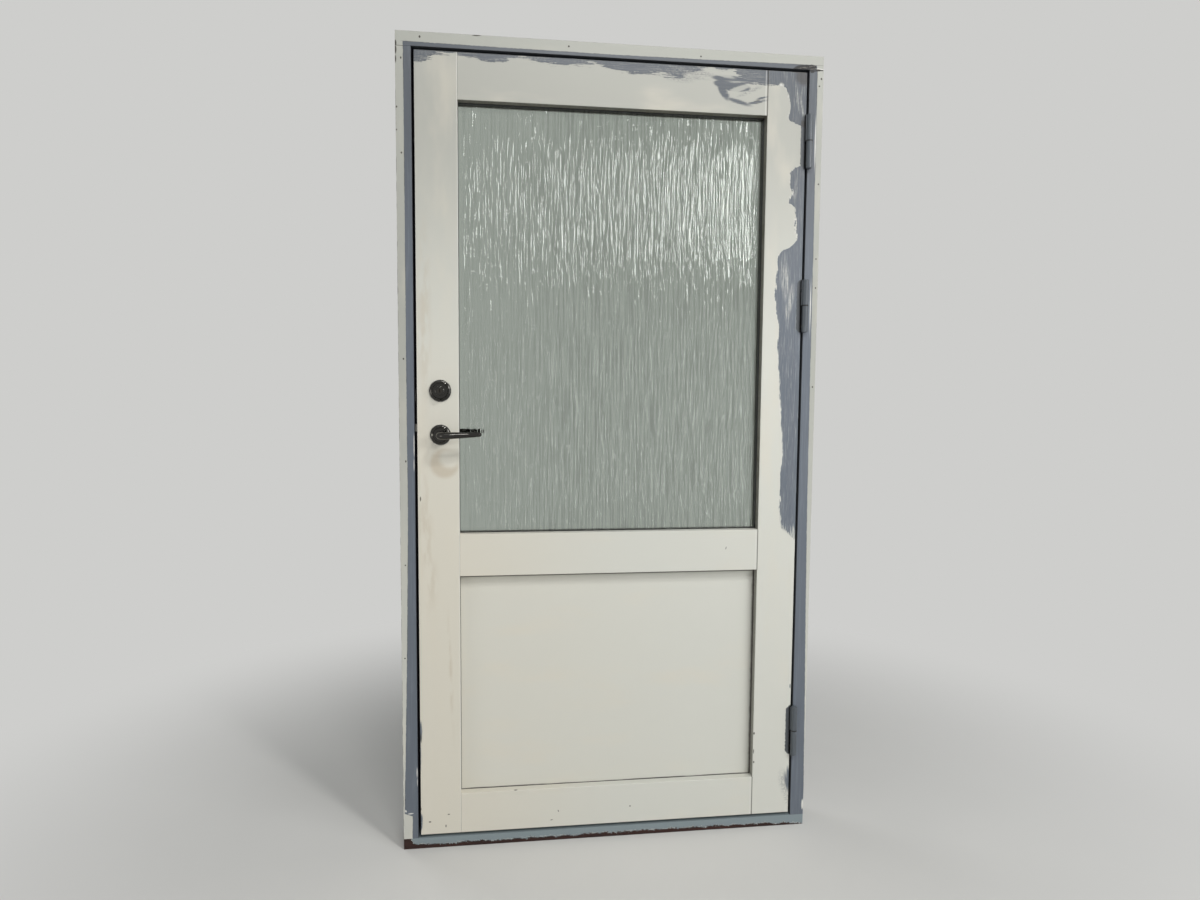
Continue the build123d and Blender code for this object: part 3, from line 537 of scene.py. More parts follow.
leafMarks = {
    # the leaf's two openings: half width, and the foot and head of each
    "opening": 0.3745,
    "glassHeights": (0.788, 1.812),
    "panelHeights": (0.136, 0.6845),
    "hingeHeights": (0.2585, 1.3525, 1.7535),
    # how far down from the leaf's top the blue-grey smear reaches: (place along the top, depth)
    "topEdge": [(-0.4735, 0.027), (-0.447, 0.026), (-0.436, 0.019), (-0.424, 0.009), (-0.4, 0.004),
                (-0.376, 0.003), (-0.37, 0.009), (-0.33, 0.010), (-0.316, 0.017), (-0.289, 0.019),
                (-0.262, 0.015), (-0.25, 0.008), (-0.2, 0.007), (-0.16, 0.015), (-0.12, 0.018),
                (-0.07, 0.011), (-0.045, 0.009), (-0.02, 0.017), (0.008, 0.023), (0.04, 0.026),
                (0.071, 0.026), (0.1, 0.022), (0.125, 0.027), (0.155, 0.029), (0.175, 0.019),
                (0.2, 0.008), (0.23, 0.003), (0.29, 0.004), (0.3, 0.019), (0.33, 0.032),
                (0.38, 0.0355), (0.4735, 0.0355)],
    # how dry the brush was there, 0 to 1
    "topDry": [(-0.4735, 0.3), (-0.424, 0.8), (-0.4, 0.9), (-0.36, 0.6), (-0.3, 0.15), (-0.25, 0.7),
               (-0.2, 0.8), (-0.13, 0.25), (-0.06, 0.75), (-0.02, 0.35), (0.04, 0.1), (0.1, 0.5),
               (0.15, 0.85), (0.22, 0.95), (0.29, 0.6), (0.34, 0.25), (0.4735, 0.1)],
    # how far in from the leaf's hinge edge it reaches: (height, width)
    "hingeEdge": [(0.745, 0.0), (0.757, 0.003), (0.775, 0.018), (0.79, 0.034), (0.83, 0.041),
                  (0.88, 0.043), (0.915, 0.044), (0.953, 0.042), (0.991, 0.038), (1.042, 0.043),
                  (1.118, 0.049), (1.16, 0.0515), (1.25, 0.058), (1.3, 0.0565), (1.374, 0.069),
                  (1.43, 0.066), (1.477, 0.061), (1.49, 0.05), (1.497, 0.031), (1.515, 0.016),
                  (1.564, 0.0205), (1.593, 0.0215), (1.605, 0.039), (1.629, 0.029), (1.656, 0.0375),
                  (1.677, 0.0405), (1.692, 0.024), (1.6955, 0.010), (1.787, 0.0115),
                  (1.7915, 0.013), (1.7935, 0.02), (1.806, 0.048), (1.831, 0.0395), (1.85, 0.041),
                  (1.8633, 0.0462), (1.8798, 0.0544), (1.884, 0.06), (1.8855, 0.093),
                  (1.92, 0.094)],
    # soft ovals, as Finish.dab takes them: the grey coat, thick and thin
    "greyDabs": [(0.285, 1.8925, 0.052, 0.0085, -4, 0.16), (0.284, 1.8785, 0.046, 0.0125, -6, 0.10),
                 (0.262, 1.864, 0.009, 0.023, 34, 0.3), (0.30, 1.8415, 0.03, 0.0045, -14, 0.5),
                 (0.345, 1.842, 0.026, 0.003, 14, 0.5), (0.36, 1.853, 0.014, 0.0025, 16, 0.5),
                 (-0.473, 0.0675, 0.004, 0.023, 0, 0.15), (-0.472, 0.298, 0.0034, 0.026, 0, 0.3),
                 (-0.4734, 0.235, 0.0018, 0.04, 0, 0.4), (0.4715, 0.128, 0.0035, 0.03, 4, 0.4),
                 (0.4685, 0.116, 0.0055, 0.025, 12, 0.7), (0.471, 0.375, 0.002, 0.006, 0, 0.4)],
    "faintDabs": [(0.464, 0.113, 0.013, 0.034, 14, 0.6), (0.468, 0.09, 0.007, 0.03, 4, 0.6),
                  (0.152, 1.89, 0.03, 0.009, -4, 0.7), (0.2, 1.902, 0.04, 0.006, 0, 0.7),
                  (0.33, 1.868, 0.03, 0.004, 24, 0.7), (0.165, 1.893, 0.05, 0.004, -3, 0.6)],
    # holes in it, dark streaks, and a painted shadow along the leaf's top at the torn corner
    "bareDabs": [(0.3, 1.8885, 0.026, 0.0016, 1, 0.4), (0.255, 1.9045, 0.034, 0.0055, -14, 0.3),
                 (0.302, 1.872, 0.03, 0.006, 20, 0.3), (0.4085, 1.886, 0.0065, 0.0055, 0, 0.3)],
    "darkDabs": [(0.347, 1.8462, 0.008, 0.0014, 16, 0.4), (0.352, 1.8412, 0.007, 0.0012, 12, 0.4),
                 (0.456, 1.9194, 0.023, 0.0019, 0, 0.3)],
    # knocks and fly marks
    "specks": [(-0.4727, 0.1021, 0.0012, 0.0042, 0, 0.4), (-0.4511, 0.0673, 0.003, 0.0018, 0, 0.4),
               (-0.4121, 0.0544, 0.0014, 0.0034, 0, 0.5), (-0.405, 0.084, 0.0026, 0.0014, 0, 0.6),
               (0.3768, 0.253, 0.0022, 0.0034, 0, 0.3), (0.3775, 0.176, 0.0019, 0.003, 0, 0.4),
               (0.3765, 0.205, 0.0012, 0.006, 0, 0.5), (-0.4668, 0.8755, 0.0014, 0.0055, 0, 0.4),
               (-0.2386, 0.1365, 0.0045, 0.001, 4, 0.5), (0.052, 0.0774, 0.0017, 0.002, 0, 0.3),
               (-0.149, 0.0535, 0.0032, 0.001, 10, 0.5), (-0.132, 0.076, 0.0011, 0.0026, 20, 0.5),
               (0.2917, 0.742, 0.001, 0.0034, -14, 0.5), (-0.471, 0.283, 0.0012, 0.011, 0, 0.5)],
    # hand grime and water marks on the lock stile
    "stains": [(-0.455, 0.80, 0.013, 0.12, 2, 0.9), (-0.447, 0.68, 0.014, 0.06, 0, 0.95),
               (-0.455, 1.31, 0.012, 0.17, 0, 0.95), (-0.398, 0.44, 0.004, 0.12, 2, 0.8)],
    # painted shadow and reflection below the lever rosette: a crescent, the mark less its middle
    "rosetteShadow": [(-0.409, 0.961, 0.034, 0.035, -20, 0.2)],
    "rosetteShadowInside": [(-0.398, 0.972, 0.024, 0.022, -20, 0.35)],
    # grime at the top hinge, and lines wiped through the wet coat
    "smudge": [(0.462, 1.906, 0.019, 0.015, -35, 0.4), (0.4665, 1.797, 0.007, 0.008, 0, 0.4)],
    "wiped": [(0.43, 1.42, 0.011, 0.05, 4, 0.5), (0.447, 1.372, 0.006, 0.034, -6, 0.5),
              (0.438, 1.335, 0.006, 0.03, 0, 0.6), (0.45, 1.86, 0.004, 0.03, 10, 0.6),
              (0.462, 1.838, 0.003, 0.03, 12, 0.6), (0.452, 1.64, 0.005, 0.024, -8, 0.6)],
    # how strongly each mark shows, 0 to 1
    "strength": {"faint": 0.5, "bare": 0.85, "wiped": 0.7, "drag": 0.3, "rim": 0.7, "smudge": 0.72,
                 "dark": 0.7, "dirtAndShade": 0.85, "stains": 0.34, "rosetteShadow": 0.55, "joints": 0.62,
                 "jointHighlight": 0.75, "railJointHighlight": 0.3, "gap": 0.92, "dry": 0.8, "paintedLight": 0.6,
                 "top": 0.9},
}


class LeafPoint:
    # a point of the leaf, and the drags of the brush there: level along the top, upright (plumb)
    # down the hinge side
    def __init__(self, finish):
        self.vector, self.x, self.y, self.z = finish.place()
        self.onFace = finish.rise(self.y, front + 0.006, front + 0.003)
        self.level = finish.wobble(self.vector, (16, 40, 620))
        self.plumb = finish.wobble(self.vector, (480, 40, 18))
        self.ragged = finish.wobble(self.vector, (190, 40, 190))


def topSmear(finish, at):
    # the grey coat along the leaf's top, streaky where the brush was dry
    depth = finish.along(at.x, leafMarks["topEdge"])
    dry = finish.along(at.x, leafMarks["topDry"])
    strokes = finish.wobble(at.vector, (24, 40, 230), 4.0, 0.65)
    fringe = at.level * (dry * 0.02 + 0.006) + strokes * (dry * 0.05 + 0.022) + at.ragged * 0.007
    smear = finish.rise(leafTop - at.z + fringe, depth + 0.0008, depth - 0.0012)
    skipped = dry * finish.rise(at.level + at.ragged * 0.5, -0.05, 0.22)
    return smear * (1 - skipped * leafMarks["strength"]["dry"])


def sideSmear(finish, at):
    # the grey coat down the hinge side; with it, how far in a point lies and how wide the coat is
    width = finish.along(at.z, leafMarks["hingeEdge"])
    fade = finish.rise(at.z, 0.88, 0.76) * 0.04
    broad = finish.wobble(at.vector, (130, 40, 26), 4.0, 0.65)
    inward = halfLeaf - at.x + at.plumb * (0.009 + fade) + broad * 0.02 + at.ragged * 0.008
    smear = finish.rise(inward, width + 0.0007, width - 0.0007)
    smear = smear & finish.rise(at.z + at.plumb * 0.2 + broad * 0.06, 0.75, 0.79)
    return smear, inward, width


def stileJoints(finish, at, upright):
    # a painted highlight along the lock-side edge and a dark open line at the hinge side, from
    # stile to rail; on the rails a faint painted highlight just inside the hinge-side joint
    edge = leafMarks["opening"]
    strength = leafMarks["strength"]
    if upright:
        paintedHighlight = finish.rise(abs(at.x + edge), 0.0016, 0.0009)
        dark = finish.rise(abs(at.x - edge), 0.0013, 0.0006)
        bare = paintedHighlight * at.onFace * strength["jointHighlight"]
    else:
        dark = finish.rise(at.x, edge - 0.0022, edge - 0.0012)
        dark = dark | finish.rise(at.x, 0.0013 - edge, 0.0003 - edge) * 0.5
        paintedHighlight = finish.rise(abs(at.x - edge + 0.005), 0.0016, 0.0008)
        bare = paintedHighlight * at.onFace * strength["railJointHighlight"]
    low, high = leafMarks["glassHeights"]
    beside = finish.rise(at.z, high - 0.001, high + 0.001)
    beside = beside | finish.rise(at.z, low + 0.001, low - 0.001)
    low, high = leafMarks["panelHeights"]
    inPanel = finish.rise(at.z, low, low + 0.001) * finish.rise(at.z, high, high - 0.001)
    return dark * beside * (1 - inPanel) * at.onFace * strength["joints"], bare


def openingSides(finish, at, upright):
    # painted shade on the sides of the glass opening, on top and at the hinge side, and the same
    # colour down the hinge side of the panel opening
    low, high = leafMarks["glassHeights"]
    panelHigh = leafMarks["panelHeights"][1]
    lip = finish.rise(at.y, front + 0.0008, front + 0.002)
    lip = lip * finish.rise(at.y, front + 0.0235, front + 0.0225)
    if upright:
        revealShade = lip * finish.rise(abs(at.x - leafMarks["opening"]), 0.0006, 0.0002)
        revealShade = revealShade * (finish.rise(at.z, low - 0.001, low + 0.001)
                       | finish.rise(at.z, panelHigh, panelHigh - 0.001) * 0.8)
    else:
        revealShade = lip * finish.rise(abs(at.z - high), 0.0006, 0.0002)
    return revealShade * (0.8 + (at.ragged + at.plumb) * 0.6)


def hingeShadow(finish, at):
    # painted shadow beside each hinge barrel, on a strip of grey coat
    low, middle, high = [abs(at.z - height) for height in leafMarks["hingeHeights"]]
    reach = (low & middle & high) + finish.rise(at.x, 0.4715, 0.461) * 0.009 + at.ragged * 0.012
    barrelShadow = finish.rise(reach, 0.0675, 0.065)
    return barrelShadow * finish.rise(at.x + at.ragged * 0.008, 0.4606, 0.4618) * at.onFace


def leafGap(finish, at):
    # the arris round the leaf is in the shade of the gap
    crown = leafTop - 0.0022 + finish.rise(at.x, -0.45, 0.3) * 0.0009
    gap = finish.rise(at.z + at.level * 0.002, crown, leafTop - 0.001)
    gap = gap | finish.rise(at.x, 0.0013 - halfLeaf, 0.0005 - halfLeaf)
    return (gap | finish.rise(at.z, leafFoot + 0.0012, leafFoot + 0.0004)) * at.onFace


def makeLeafFinish(name, upright):
    # Stiles are upright pieces, rails are level ones. This material is close to the most that
    # Cycles holds: with more nodes it turns black, so new marks take the place of old ones.
    finish = Finish(name)
    strength = leafMarks["strength"]
    at = LeafPoint(finish)
    # painted light: paler and warmer towards the lower lock-side corner
    paintedLight = finish.rise(at.x, 0.1, -0.45) * finish.rise(at.z, 1.5, 0.7)
    base = finish.blend(paintedLight * strength["paintedLight"], paint["cream"], paint["creamWarm"])
    # painted shade: the cream darker towards the top
    base = finish.blend(finish.rise(at.z, 1.15, 1.85) * strength["top"], base, paint["creamTop"])

    # grey coat
    top = topSmear(finish, at)
    side, inward, width = sideSmear(finish, at)
    wash = finish.add("CombineXYZ", {}, {0: at.plumb, 2: at.level})
    warped = finish.moved(at.vector, finish.stretched(wash, (0.008, 0, 0.011)))
    marks = finish.dabs(warped, leafMarks["greyDabs"])
    patchy = finish.dabs(warped, leafMarks["faintDabs"])
    marks = marks | patchy * finish.rise(at.level + at.ragged, -0.12, 0.12) * strength["faint"]
    grey = top | side | marks
    grey = grey * (1 - finish.dabs(warped, leafMarks["bareDabs"]) * strength["bare"])
    wiped = finish.dabs(warped, leafMarks["wiped"]) * finish.rise(at.plumb, -0.1, 0.15)
    onSide = finish.rise(at.x, 0.374, 0.376)
    drag = finish.rise(at.plumb, 0.0, 0.2) * onSide
    drag = drag | finish.rise(at.level, 0.02, 0.22) * (1 - onSide)
    grey = grey * (1 - wiped * strength["wiped"]) * (1 - drag * strength["drag"]) * at.onFace
    rim = finish.rise(inward, width + 0.0042, width + 0.001) * finish.rise(at.x, 0.38, 0.39)
    rim = rim * finish.rise(at.ragged, -0.05, 0.15) * finish.rise(at.z, 0.85, 0.95)
    rim = rim * at.onFace * strength["rim"]

    # dirt, with a painted shadow at the torn corner; stains, with the painted shadow and reflection
    # below the lever rosette
    dirtAndShade = finish.dabs(at.vector, leafMarks["specks"])
    dirtAndShade = dirtAndShade | finish.dabs(warped, leafMarks["smudge"]) * strength["smudge"]
    dirtAndShade = dirtAndShade | finish.dabs(warped, leafMarks["darkDabs"]) * strength["dark"]
    dirtAndShade = dirtAndShade * at.onFace * strength["dirtAndShade"]
    if upright:
        worn = finish.rise(finish.cloud(at.vector, (60, 60, 14), 4.0, 0.6), 0.38, 0.62)
        stainAndShadow = finish.dabs(warped, leafMarks["stains"]) * worn * strength["stains"]
        rosetteShadow = finish.dabs(warped, leafMarks["rosetteShadow"])
        rosetteShadow = rosetteShadow * (1 - finish.dabs(warped, leafMarks["rosetteShadowInside"]))
        stainAndShadow = (stainAndShadow | rosetteShadow * strength["rosetteShadow"]) * at.onFace
        base = finish.blend(stainAndShadow, base, paint["stainAndShadow"])

    # joints with a painted highlight, and painted shade on the openings' sides, beside the hinges
    # and in the gap round the leaf
    lines, bare = stileJoints(finish, at, upright)
    dirtAndShade = dirtAndShade | lines
    revealShade = openingSides(finish, at, upright)
    if upright:
        barrelShadow = hingeShadow(finish, at)
        bare = bare * (1 - barrelShadow)
        grey = grey | barrelShadow
    gap = leafGap(finish, at)
    shade = revealShade | gap
    dark = gap * strength["gap"]
    if upright:
        shade = shade | barrelShadow
        dark = dark | finish.rise(at.x + at.ragged * 0.003, 0.4698, 0.4708) * barrelShadow
    # colours of the painted shade: the hinge shadow, its dark core and the gap, then the openings'
    # sides
    surface = finish.blend(dark, paint["hingeShade"], paint["gap"])
    surface = finish.blend(revealShade, surface, paint["reveal"])
    return paintedTimber(finish, at.vector, at.z, upright, base, grey, dirtAndShade, (shade, surface), bare,
                         rim)


def makePanelFinish():
    # the flat board in the lower opening, darker along its hinge side, with a painted shadow under
    # the middle rail
    finish = Finish("panelPaint")
    vector, x, y, z = finish.place()
    # painted light: paler and warmer towards the lock side
    base = finish.blend(finish.rise(x, 0.3, -0.4) * 0.25, paint["cream"], paint["creamWarm"])
    edge = leafMarks["opening"]
    low, high = leafMarks["panelHeights"]
    wander = finish.wobble(vector, (60, 1, 40), 4.0, 0.6) * 0.004
    hingeSideDark = finish.rise(x + wander, edge - 0.0075, edge - 0.001)
    foot = finish.rise(z, low + 0.0035, low + 0.0008)
    # painted shadow of the middle rail's lower arris, along the panel's top
    crown = finish.rise(z, high - 0.0084, high - 0.007)
    foot = foot * finish.rise(finish.cloud(vector, (11, 1, 1), 2.0), 0.4, 0.55)
    dirtAndShade = (hingeSideDark * 0.9 | foot * 0.75 | crown * 0.8) * finish.rise(y, 0.0, -0.01)
    return paintedTimber(finish, vector, z, False, base, dirtAndShade=dirtAndShade)


def makeBeadFinish():
    finish = Finish("beadPaint")
    vector, x, y, z = finish.place()
    return paintedTimber(finish, vector, z, True, paint["cream"])


cover(makeLeafFinish("stilePaint", True), "lock_stile", "hinge_stile")
cover(makeLeafFinish("railPaint", False), "top_rail", "middle_rail", "bottom_rail")
cover(makePanelFinish(), "lower_panel")
cover(makeBeadFinish(), *[f"{part}_bead_{side}" for part in ("glazing", "panel")
                          for side in ("bottom", "top", "left", "right")])
print("leaf painted")


# Sill

sill = {
    "wood": rgb(36, 19, 15),
    "woodPale": rgb(60, 32, 25),
    "pores": rgb(24, 10, 8),
    "rough": 0.5,
    "relief": 0.00025,
    "grey": rgb(132, 144, 148),
    # lower edge of the grey coat on the front: (place along the sill, height)
    "coat": [(-0.515, 0.03), (-0.497, 0.03), (-0.4945, 0.018), (-0.489, 0.0125), (-0.4516, 0.0095),
             (-0.36, 0.0102), (-0.2286, 0.0103), (-0.1, 0.0100), (0.0268, 0.0112), (0.15, 0.0108),
             (0.2906, 0.0095), (0.4, 0.0085), (0.4668, 0.0055), (0.515, 0.002)],
}


def makeSillFinish():
    finish = Finish("sillCoat")
    vector, x, y, z = finish.place()
    grain = finish.cloud(vector, (7, 180, 180), 5.0, 0.65)
    pores = finish.rise(finish.cloud(vector, (60, 900, 900), 2.0), 0.62, 0.72)
    wood = finish.blend(finish.rise(grain, 0.35, 0.7), sill["wood"], sill["woodPale"])
    wood = finish.blend(pores * 0.6, wood, sill["pores"])
    # the coat ends in a ragged line, with runs
    limit = finish.along(x, sill["coat"])
    ragged = finish.wobble(vector, (260, 260, 260), 4.0, 0.75) * 0.02
    ragged = ragged + finish.wobble(vector, (45, 45, 45), 3.0, 0.5) * 0.012
    runs = finish.rise(finish.cloud(vector, (95, 1, 1), 2.0), 0.6, 0.72) * 0.0035
    height = z + ragged + runs
    coat = finish.rise(height, limit - 0.0003, limit + 0.0004)
    coat = coat & finish.rise(y, front + 0.052, front + 0.05)
    rim = coat * finish.rise(height, limit + 0.0022, limit + 0.0006)
    rim = rim * finish.rise(finish.cloud(vector, (60, 60, 400)), 0.46, 0.56)
    brush = finish.cloud(vector, (12, 300, 300), 4.0, 0.6)
    grey = finish.blend(finish.rise(brush, 0.4, 0.75) * 0.3, sill["grey"], paint["greyThin"])
    grey = finish.blend(rim * 0.7, grey, paint["under"])
    colour = finish.blend(coat, wood, grey)
    # painted shade: a dark band on the sill's top in the gap under the leaf
    gapShade = finish.rise(z, 0.0335, 0.0342) * finish.rise(y, front + 0.002, front + 0.004)
    colour = finish.blend(gapShade, colour, paint["rebate"])
    rough = sill["rough"] - coat * 0.08 + (grain - 0.5) * 0.2
    relief = coat * 1.2 + grain * 0.4 + brush * coat * 0.4
    return finish.shade({"Base Color": colour, "Roughness": rough,
                         "Specular IOR Level": paint["shine"]}, relief, sill["relief"])


cover(makeSillFinish(), "threshold")
print("sill finished")


# Glass

glass = {
    "tint": (0.90, 0.93, 0.90, 1.0),
    # painted refraction: darker upright lines, fainter towards the lock side
    "refractionTint": (0.72, 0.75, 0.72, 1.0),
    # greenish tint, darker than clear glass as a painted shade for the shaded space seen through it
    "innerTint": (0.455, 0.495, 0.455, 1.0),
    "rough": 0.02,
    "outerIndex": 1.7,
    "innerIndex": 1.5,
    "relief": 0.0008,
    "fineRelief": 0.00035,
    # the rim is plain from here out: half width, and how softly the pattern fades there
    "plainRim": (0.3635, 0.003),
    "columns": 900,
    "rows": 104,
    "seed": 7,
    # rolled drops: one to each patch this wide and high; half width, half length and depth vary
    "patch": (0.0040, 0.026),
    "halfWidth": (0.0017, 0.0031),
    "halfLength": (0.012, 0.034),
    "depth": (0.00016, 0.00044),
}


def inReach(middle, half, step, last):
    # the grid lines that a drop covers
    first = max(0, math.ceil((middle - half) / step))
    return range(first, min(last, int((middle + half) / step)) + 1)


def rollDrops(width, height):
    # height of the drops at each corner of the grid
    columns, rows = glass["columns"], glass["rows"]
    stepX, stepZ = width / columns, height / rows
    heights = [[0.0] * (columns + 1) for row in range(rows + 1)]
    draw = random.Random(glass["seed"])
    patchX, patchZ = glass["patch"]
    for across in range(int(width / patchX)):
        for up in range(int(height / patchZ) + 1):
            middleX, middleZ = (across + draw.random()) * patchX, (up + draw.random()) * patchZ
            halfX, halfZ = draw.uniform(*glass["halfWidth"]), draw.uniform(*glass["halfLength"])
            depth = draw.uniform(*glass["depth"]) * draw.choice((-1, 1))
            for row in inReach(middleZ, halfZ, stepZ, rows):
                alongZ = 1 - ((row * stepZ - middleZ) / halfZ) ** 2
                for column in inReach(middleX, halfX, stepX, columns):
                    alongX = 1 - ((column * stepX - middleX) / halfX) ** 2
                    heights[row][column] += depth * alongX * alongX * alongZ
    return heights


def rippled(drop, x, z):
    # a drop with fine threads and beads on it, and none of them at the rim
    threads = noise.noise(Vector((x * 370, 7.7, z * 16)))
    beads = noise.noise(Vector((x * 240, 4.4, z * 46)))
    edge, soft = glass["plainRim"]
    share = min(1.0, max(0.0, (edge - abs(x)) / soft))
    return (drop + (threads * 0.22 + beads * 0.1) * glass["relief"]) * share


def makePaneMesh(low, high):
    # smooth outside, upright runs of rain pattern rolled into the inner face
    mesh = bmesh.new()
    columns, rows = glass["columns"], glass["rows"]
    heights = rollDrops(high.x - low.x, high.z - low.z)
    grid = []
    for row in range(rows + 1):
        z = low.z + (high.z - low.z) * row / rows
        line = []
        for column in range(columns + 1):
            x = low.x + (high.x - low.x) * column / columns
            y = high.y - glass["relief"] - rippled(heights[row][column], x, z)
            line.append(mesh.verts.new((x, y, z)))
        grid.append(line)
    for lower, upper in zip(grid, grid[1:]):
        for column in range(columns):
            after = column + 1
            face = mesh.faces.new((lower[column], upper[column], upper[after], lower[after]))
            face.smooth = True
    # outside face, and the four rims from it to the grid
    corners = [mesh.verts.new((x, low.y, z)) for x, z in ((low.x, low.z), (high.x, low.z),
                                                         (high.x, high.z), (low.x, high.z))]
    mesh.faces.new(corners)
    left, right = [line[0] for line in grid], [line[-1] for line in grid]
    rims = [grid[0], right, grid[-1][::-1], left[::-1]]
    for index, rim in enumerate(rims):
        mesh.faces.new([corners[(index + 1) % 4], corners[index]] + rim)
    bmesh.ops.recalc_face_normals(mesh, faces=mesh.faces)
    return mesh


def makeRainGlass(inner):
    # inner is where the patterned face lies
    finish = Finish("rainGlass")
    vector, x, y, z = finish.place()
    threads = finish.cloud(vector, (420, 1, 34), 1.0, 0.4)
    lines = finish.cloud(vector, (260, 1, 7), 3.0, 0.6)
    onRelief = finish.rise(y, inner - 0.003, inner - 0.002)
    rim = finish.rise(abs(x), 0.3655, 0.363)
    # painted refraction: darker upright lines in the tint stand in for the lines that refraction of
    # the surroundings draws, fainter towards the lock side
    paintedRefraction = finish.rise(lines, 0.42, 0.62) * (0.4 + finish.rise(x, -0.3, -0.1) * 0.6) * rim
    tint = finish.blend(paintedRefraction, glass["tint"], glass["refractionTint"])
    return finish.shade({"Base Color": tint, "Roughness": glass["rough"],
                         "IOR": glass["outerIndex"], "Transmission Weight": 1.0},
                        threads * onRelief * rim, glass["fineRelief"])


def makeRainPane():
    low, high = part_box("outer_pane")
    pane = meshPiece("rainPane", makePaneMesh(low, high), makeRainGlass(high.y))
    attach(pane, "leaf")
    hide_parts("outer_pane")


def makeClearGlass():
    finish = Finish("clearGlass")
    return finish.shade({"Base Color": glass["innerTint"], "Roughness": glass["rough"],
                         "IOR": glass["innerIndex"], "Transmission Weight": 1.0})


makeRainPane()
cover(makeClearGlass(), "inner_pane")
print("glass ready")


# Rubber, spacer, screws and the lock's steel

smallParts = {
    "gasketRubber": {"colour": rgb(20, 20, 21), "rough": 0.55,
                     "pieces": ("glazing_gasket", "weather_seal")},
    "panelSealRubber": {"colour": rgb(52, 47, 42), "rough": 0.6, "pieces": ("panel_seal",)},
    "spacerMetal": {"colour": rgb(46, 46, 47), "rough": 0.4, "metal": 0.9, "grain": (700, 700, 700),
                    "pieces": ("spacer_frame",)},
    "blockPlastic": {"colour": rgb(60, 78, 98), "rough": 0.45, "pieces": ("setting_blocks",)},
    "washerPlastic": {"colour": rgb(28, 28, 30), "rough": 0.4, "pieces": ("hinge_washers",)},
    "dowelWood": {"colour": rgb(196, 160, 112), "rough": 0.6, "grain": (300, 300, 300),
                  "pieces": ("rail_dowels",)},
    "zincScrew": {"colour": rgb(188, 186, 176), "rough": 0.3, "metal": 1.0,
                  "pieces": ("hinge_frame_screws", "hinge_leaf_screws", "corner_screws",
                             "strike_screws", "forend_screws", "rosette_bolts", "cylinder_screws")},
    "lockSteel": {"colour": rgb(176, 174, 166), "rough": 0.32, "metal": 1.0, "grain": (90, 90, 900),
                  "pieces": ("lock_case", "lock_cover", "lock_forend", "strike_plate", "follower",
                             "latch_bolt", "dead_bolt", "bolt_cam", "tail_bar", "spindle",
                             "hinge_pins")},
    # dark as the chrome, a painted reflection of dark surroundings
    "plugNickel": {"colour": rgb(72, 70, 66), "rough": 0.2, "metal": 1.0,
                   "pieces": ("cylinder_plug",)},
}


def makePlainFinish(name, colour, rough, pieces, metal=0.0, grain=(500, 500, 500)):
    finish = Finish(name)
    vector, x, y, z = finish.place()
    speck = finish.cloud(vector, grain, 4.0, 0.6)
    tone = finish.dimmed(colour, speck * 0.24 + 0.88)
    rough = rough + (speck - 0.5) * 0.2
    cover(finish.shade({"Base Color": tone, "Roughness": rough, "Metallic": metal}, speck, 0.00005),
          *pieces)


for name, facts in smallParts.items():
    makePlainFinish(name, **facts)
print("small parts finished")


# Hinges, painted over with the frame

hinge = {
    "paint": rgb(78, 84, 90),
    "worn": rgb(104, 110, 116),
    "joint": rgb(10, 10, 11),
    "jointRise": 0.001,
    "rough": 0.32,
    "grainDepth": 0.0003,
}


def makeHingeFinish():
    finish = Finish("hingePaint")
    vector, x, y, z = finish.place()
    brush = finish.cloud(vector, (260, 260, 22), 4.0, 0.6)
    blotch = finish.cloud(vector, (60, 60, 30))
    colour = finish.blend(finish.rise(brush, 0.4, 0.8) * 0.6, hinge["paint"], hinge["worn"])
    colour = finish.blend(finish.rise(blotch, 0.6, 0.75) * 0.4, colour, paint["greyThin"])
    # bare joint between the two halves of a barrel, and painted shade on the barrel's leaf side,
    # facing the gap
    low, middle, high = [abs(z - height - hinge["jointRise"])
                         for height in leafMarks["hingeHeights"]]
    joint = finish.rise(low & middle & high, 0.0021, 0.0014)
    joint = joint | finish.rise(x, 0.4752, 0.4738) * finish.rise(y, -0.058, -0.0565)
    colour = finish.blend(joint, colour, hinge["joint"])
    rough = hinge["rough"] + (blotch - 0.5) * 0.2
    return finish.shade({"Base Color": colour, "Roughness": rough}, brush, hinge["grainDepth"])


cover(makeHingeFinish(), *[f"hinge_{part}_half_{place}" for part in ("frame", "leaf")
                           for place in ("top", "second", "bottom")])
print("hinges finished")


# Lever, cylinder and rosettes

chrome = {
    # kept dark, as a painted reflection of dark surroundings
    "colour": rgb(66, 65, 63),
    "rough": 0.05,
    "axis": -0.4185,
    # painted highlight on the rims of the rosettes: height and radius of each
    "rims": [(1.03, 0.02475), (1.135, 0.02625)],
    "rimHighlight": rgb(176, 175, 170),
    # only next to the leaf, so that the lever's bar stays dark: the leaf's middle, and how far out
    "leafMiddle": -0.0225,
    "rimHighlightOut": 0.04,
    "scratch": 0.000004,
}


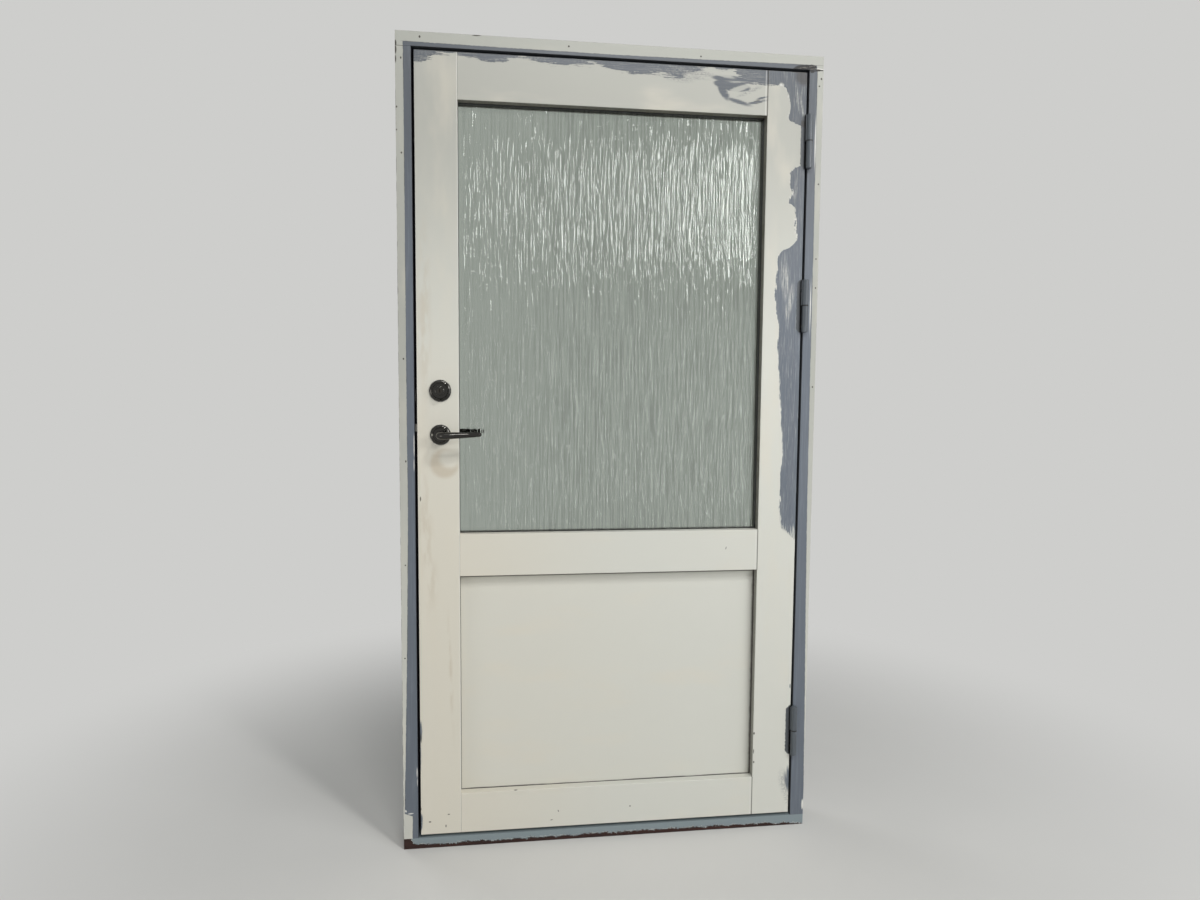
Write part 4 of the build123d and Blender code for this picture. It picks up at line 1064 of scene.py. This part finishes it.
def makeChrome():
    finish = Finish("chrome")
    vector, x, y, z = finish.place()
    smear = finish.cloud(vector, (90, 90, 90), 4.0, 0.6)
    scratch = finish.cloud(vector, (1400, 1400, 120), 2.0)
    rough = chrome["rough"] + finish.rise(smear, 0.5, 0.8) * 0.06
    rings = []
    for height, radius in chrome["rims"]:
        away = ((x - chrome["axis"]) ** 2 + (z - height) ** 2) ** 0.5
        rings.append(finish.rise(away, radius - 0.0013, radius - 0.0007)
                     * finish.rise(away, radius + 0.002, radius + 0.001))
    paintedHighlight = rings[0] + rings[1]
    out = chrome["rimHighlightOut"]
    paintedHighlight = paintedHighlight * finish.rise(abs(y - chrome["leafMiddle"]), out, out - 0.0008)
    paintedHighlight = paintedHighlight * finish.rise(smear, 0.35, 0.6)
    colour = finish.blend(paintedHighlight, chrome["colour"], chrome["rimHighlight"])
    return finish.shade({"Base Color": colour, "Roughness": rough, "Metallic": 1.0}, scratch,
                        chrome["scratch"])


cover(makeChrome(), "outer_lever_rosette", "inner_lever_rosette", "cylinder_rosette",
      "turn_rosette", "outer_lever", "inner_lever", "thumb_turn", "lock_cylinder")
print("furniture finished")


# Splinters standing out of the torn corner

splinters = {
    "wood": rgb(196, 192, 180),
    "thick": 0.0011,
    "steps": 7,
    "sides": (0.4, 1.9, 3.6, 5.2),  # corners of a shard's section, as angles
    "sunk": 0.0002,
    # root and tip: x and z of each, and how far the tip stands out
    "shards": [((0.449, 1.9275), (0.4735, 1.9332), 0.0014),
               ((0.4655, 1.9296), (0.4925, 1.9362), 0.0022),
               ((0.481, 1.928), (0.496, 1.9296), 0.0012),
               ((0.495, 1.9285), (0.5135, 1.9268), 0.0009)],
}


def addShard(mesh, root, tip, lift):
    steps, sides = splinters["steps"], splinters["sides"]
    rings = []
    for step in range(steps):
        share = step / steps
        x = root[0] + (tip[0] - root[0]) * share
        z = root[1] + (tip[1] - root[1]) * share + noise.noise(Vector((x * 400, 1.0, 2.0))) * 0.0005
        y = front - splinters["sunk"] - lift * share ** 1.5
        half = splinters["thick"] / 2 * (0.5 + share) * (1 - share ** 2)
        rings.append([mesh.verts.new((x, y + half * math.sin(turn), z + half * math.cos(turn)))
                      for turn in sides])
    end = mesh.verts.new((tip[0], front - splinters["sunk"] - lift, tip[1]))
    mesh.faces.new(rings[0])
    for first, second in zip(rings, rings[1:]):
        for index in range(len(sides)):
            after = (index + 1) % len(sides)
            mesh.faces.new((first[index], first[after], second[after], second[index]))
    for index in range(len(sides)):
        mesh.faces.new((rings[-1][index], rings[-1][(index + 1) % len(sides)], end))


def makeSplinterFinish():
    finish = Finish("splinterWood")
    vector, x, y, z = finish.place()
    grain = finish.cloud(vector, (60, 900, 900))
    colour = finish.blend(finish.rise(grain, 0.4, 0.65), splinters["wood"], paint["dirtAndShade"])
    return finish.shade({"Base Color": colour, "Roughness": 0.7}, grain, 0.0002)


def makeSplinters():
    mesh = bmesh.new()
    for root, tip, lift in splinters["shards"]:
        addShard(mesh, root, tip, lift)
    bmesh.ops.recalc_face_normals(mesh, faces=mesh.faces)
    shards = meshPiece("splinters", mesh, makeSplinterFinish())
    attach(shards, "frame")


makeSplinters()
print("splinters made")
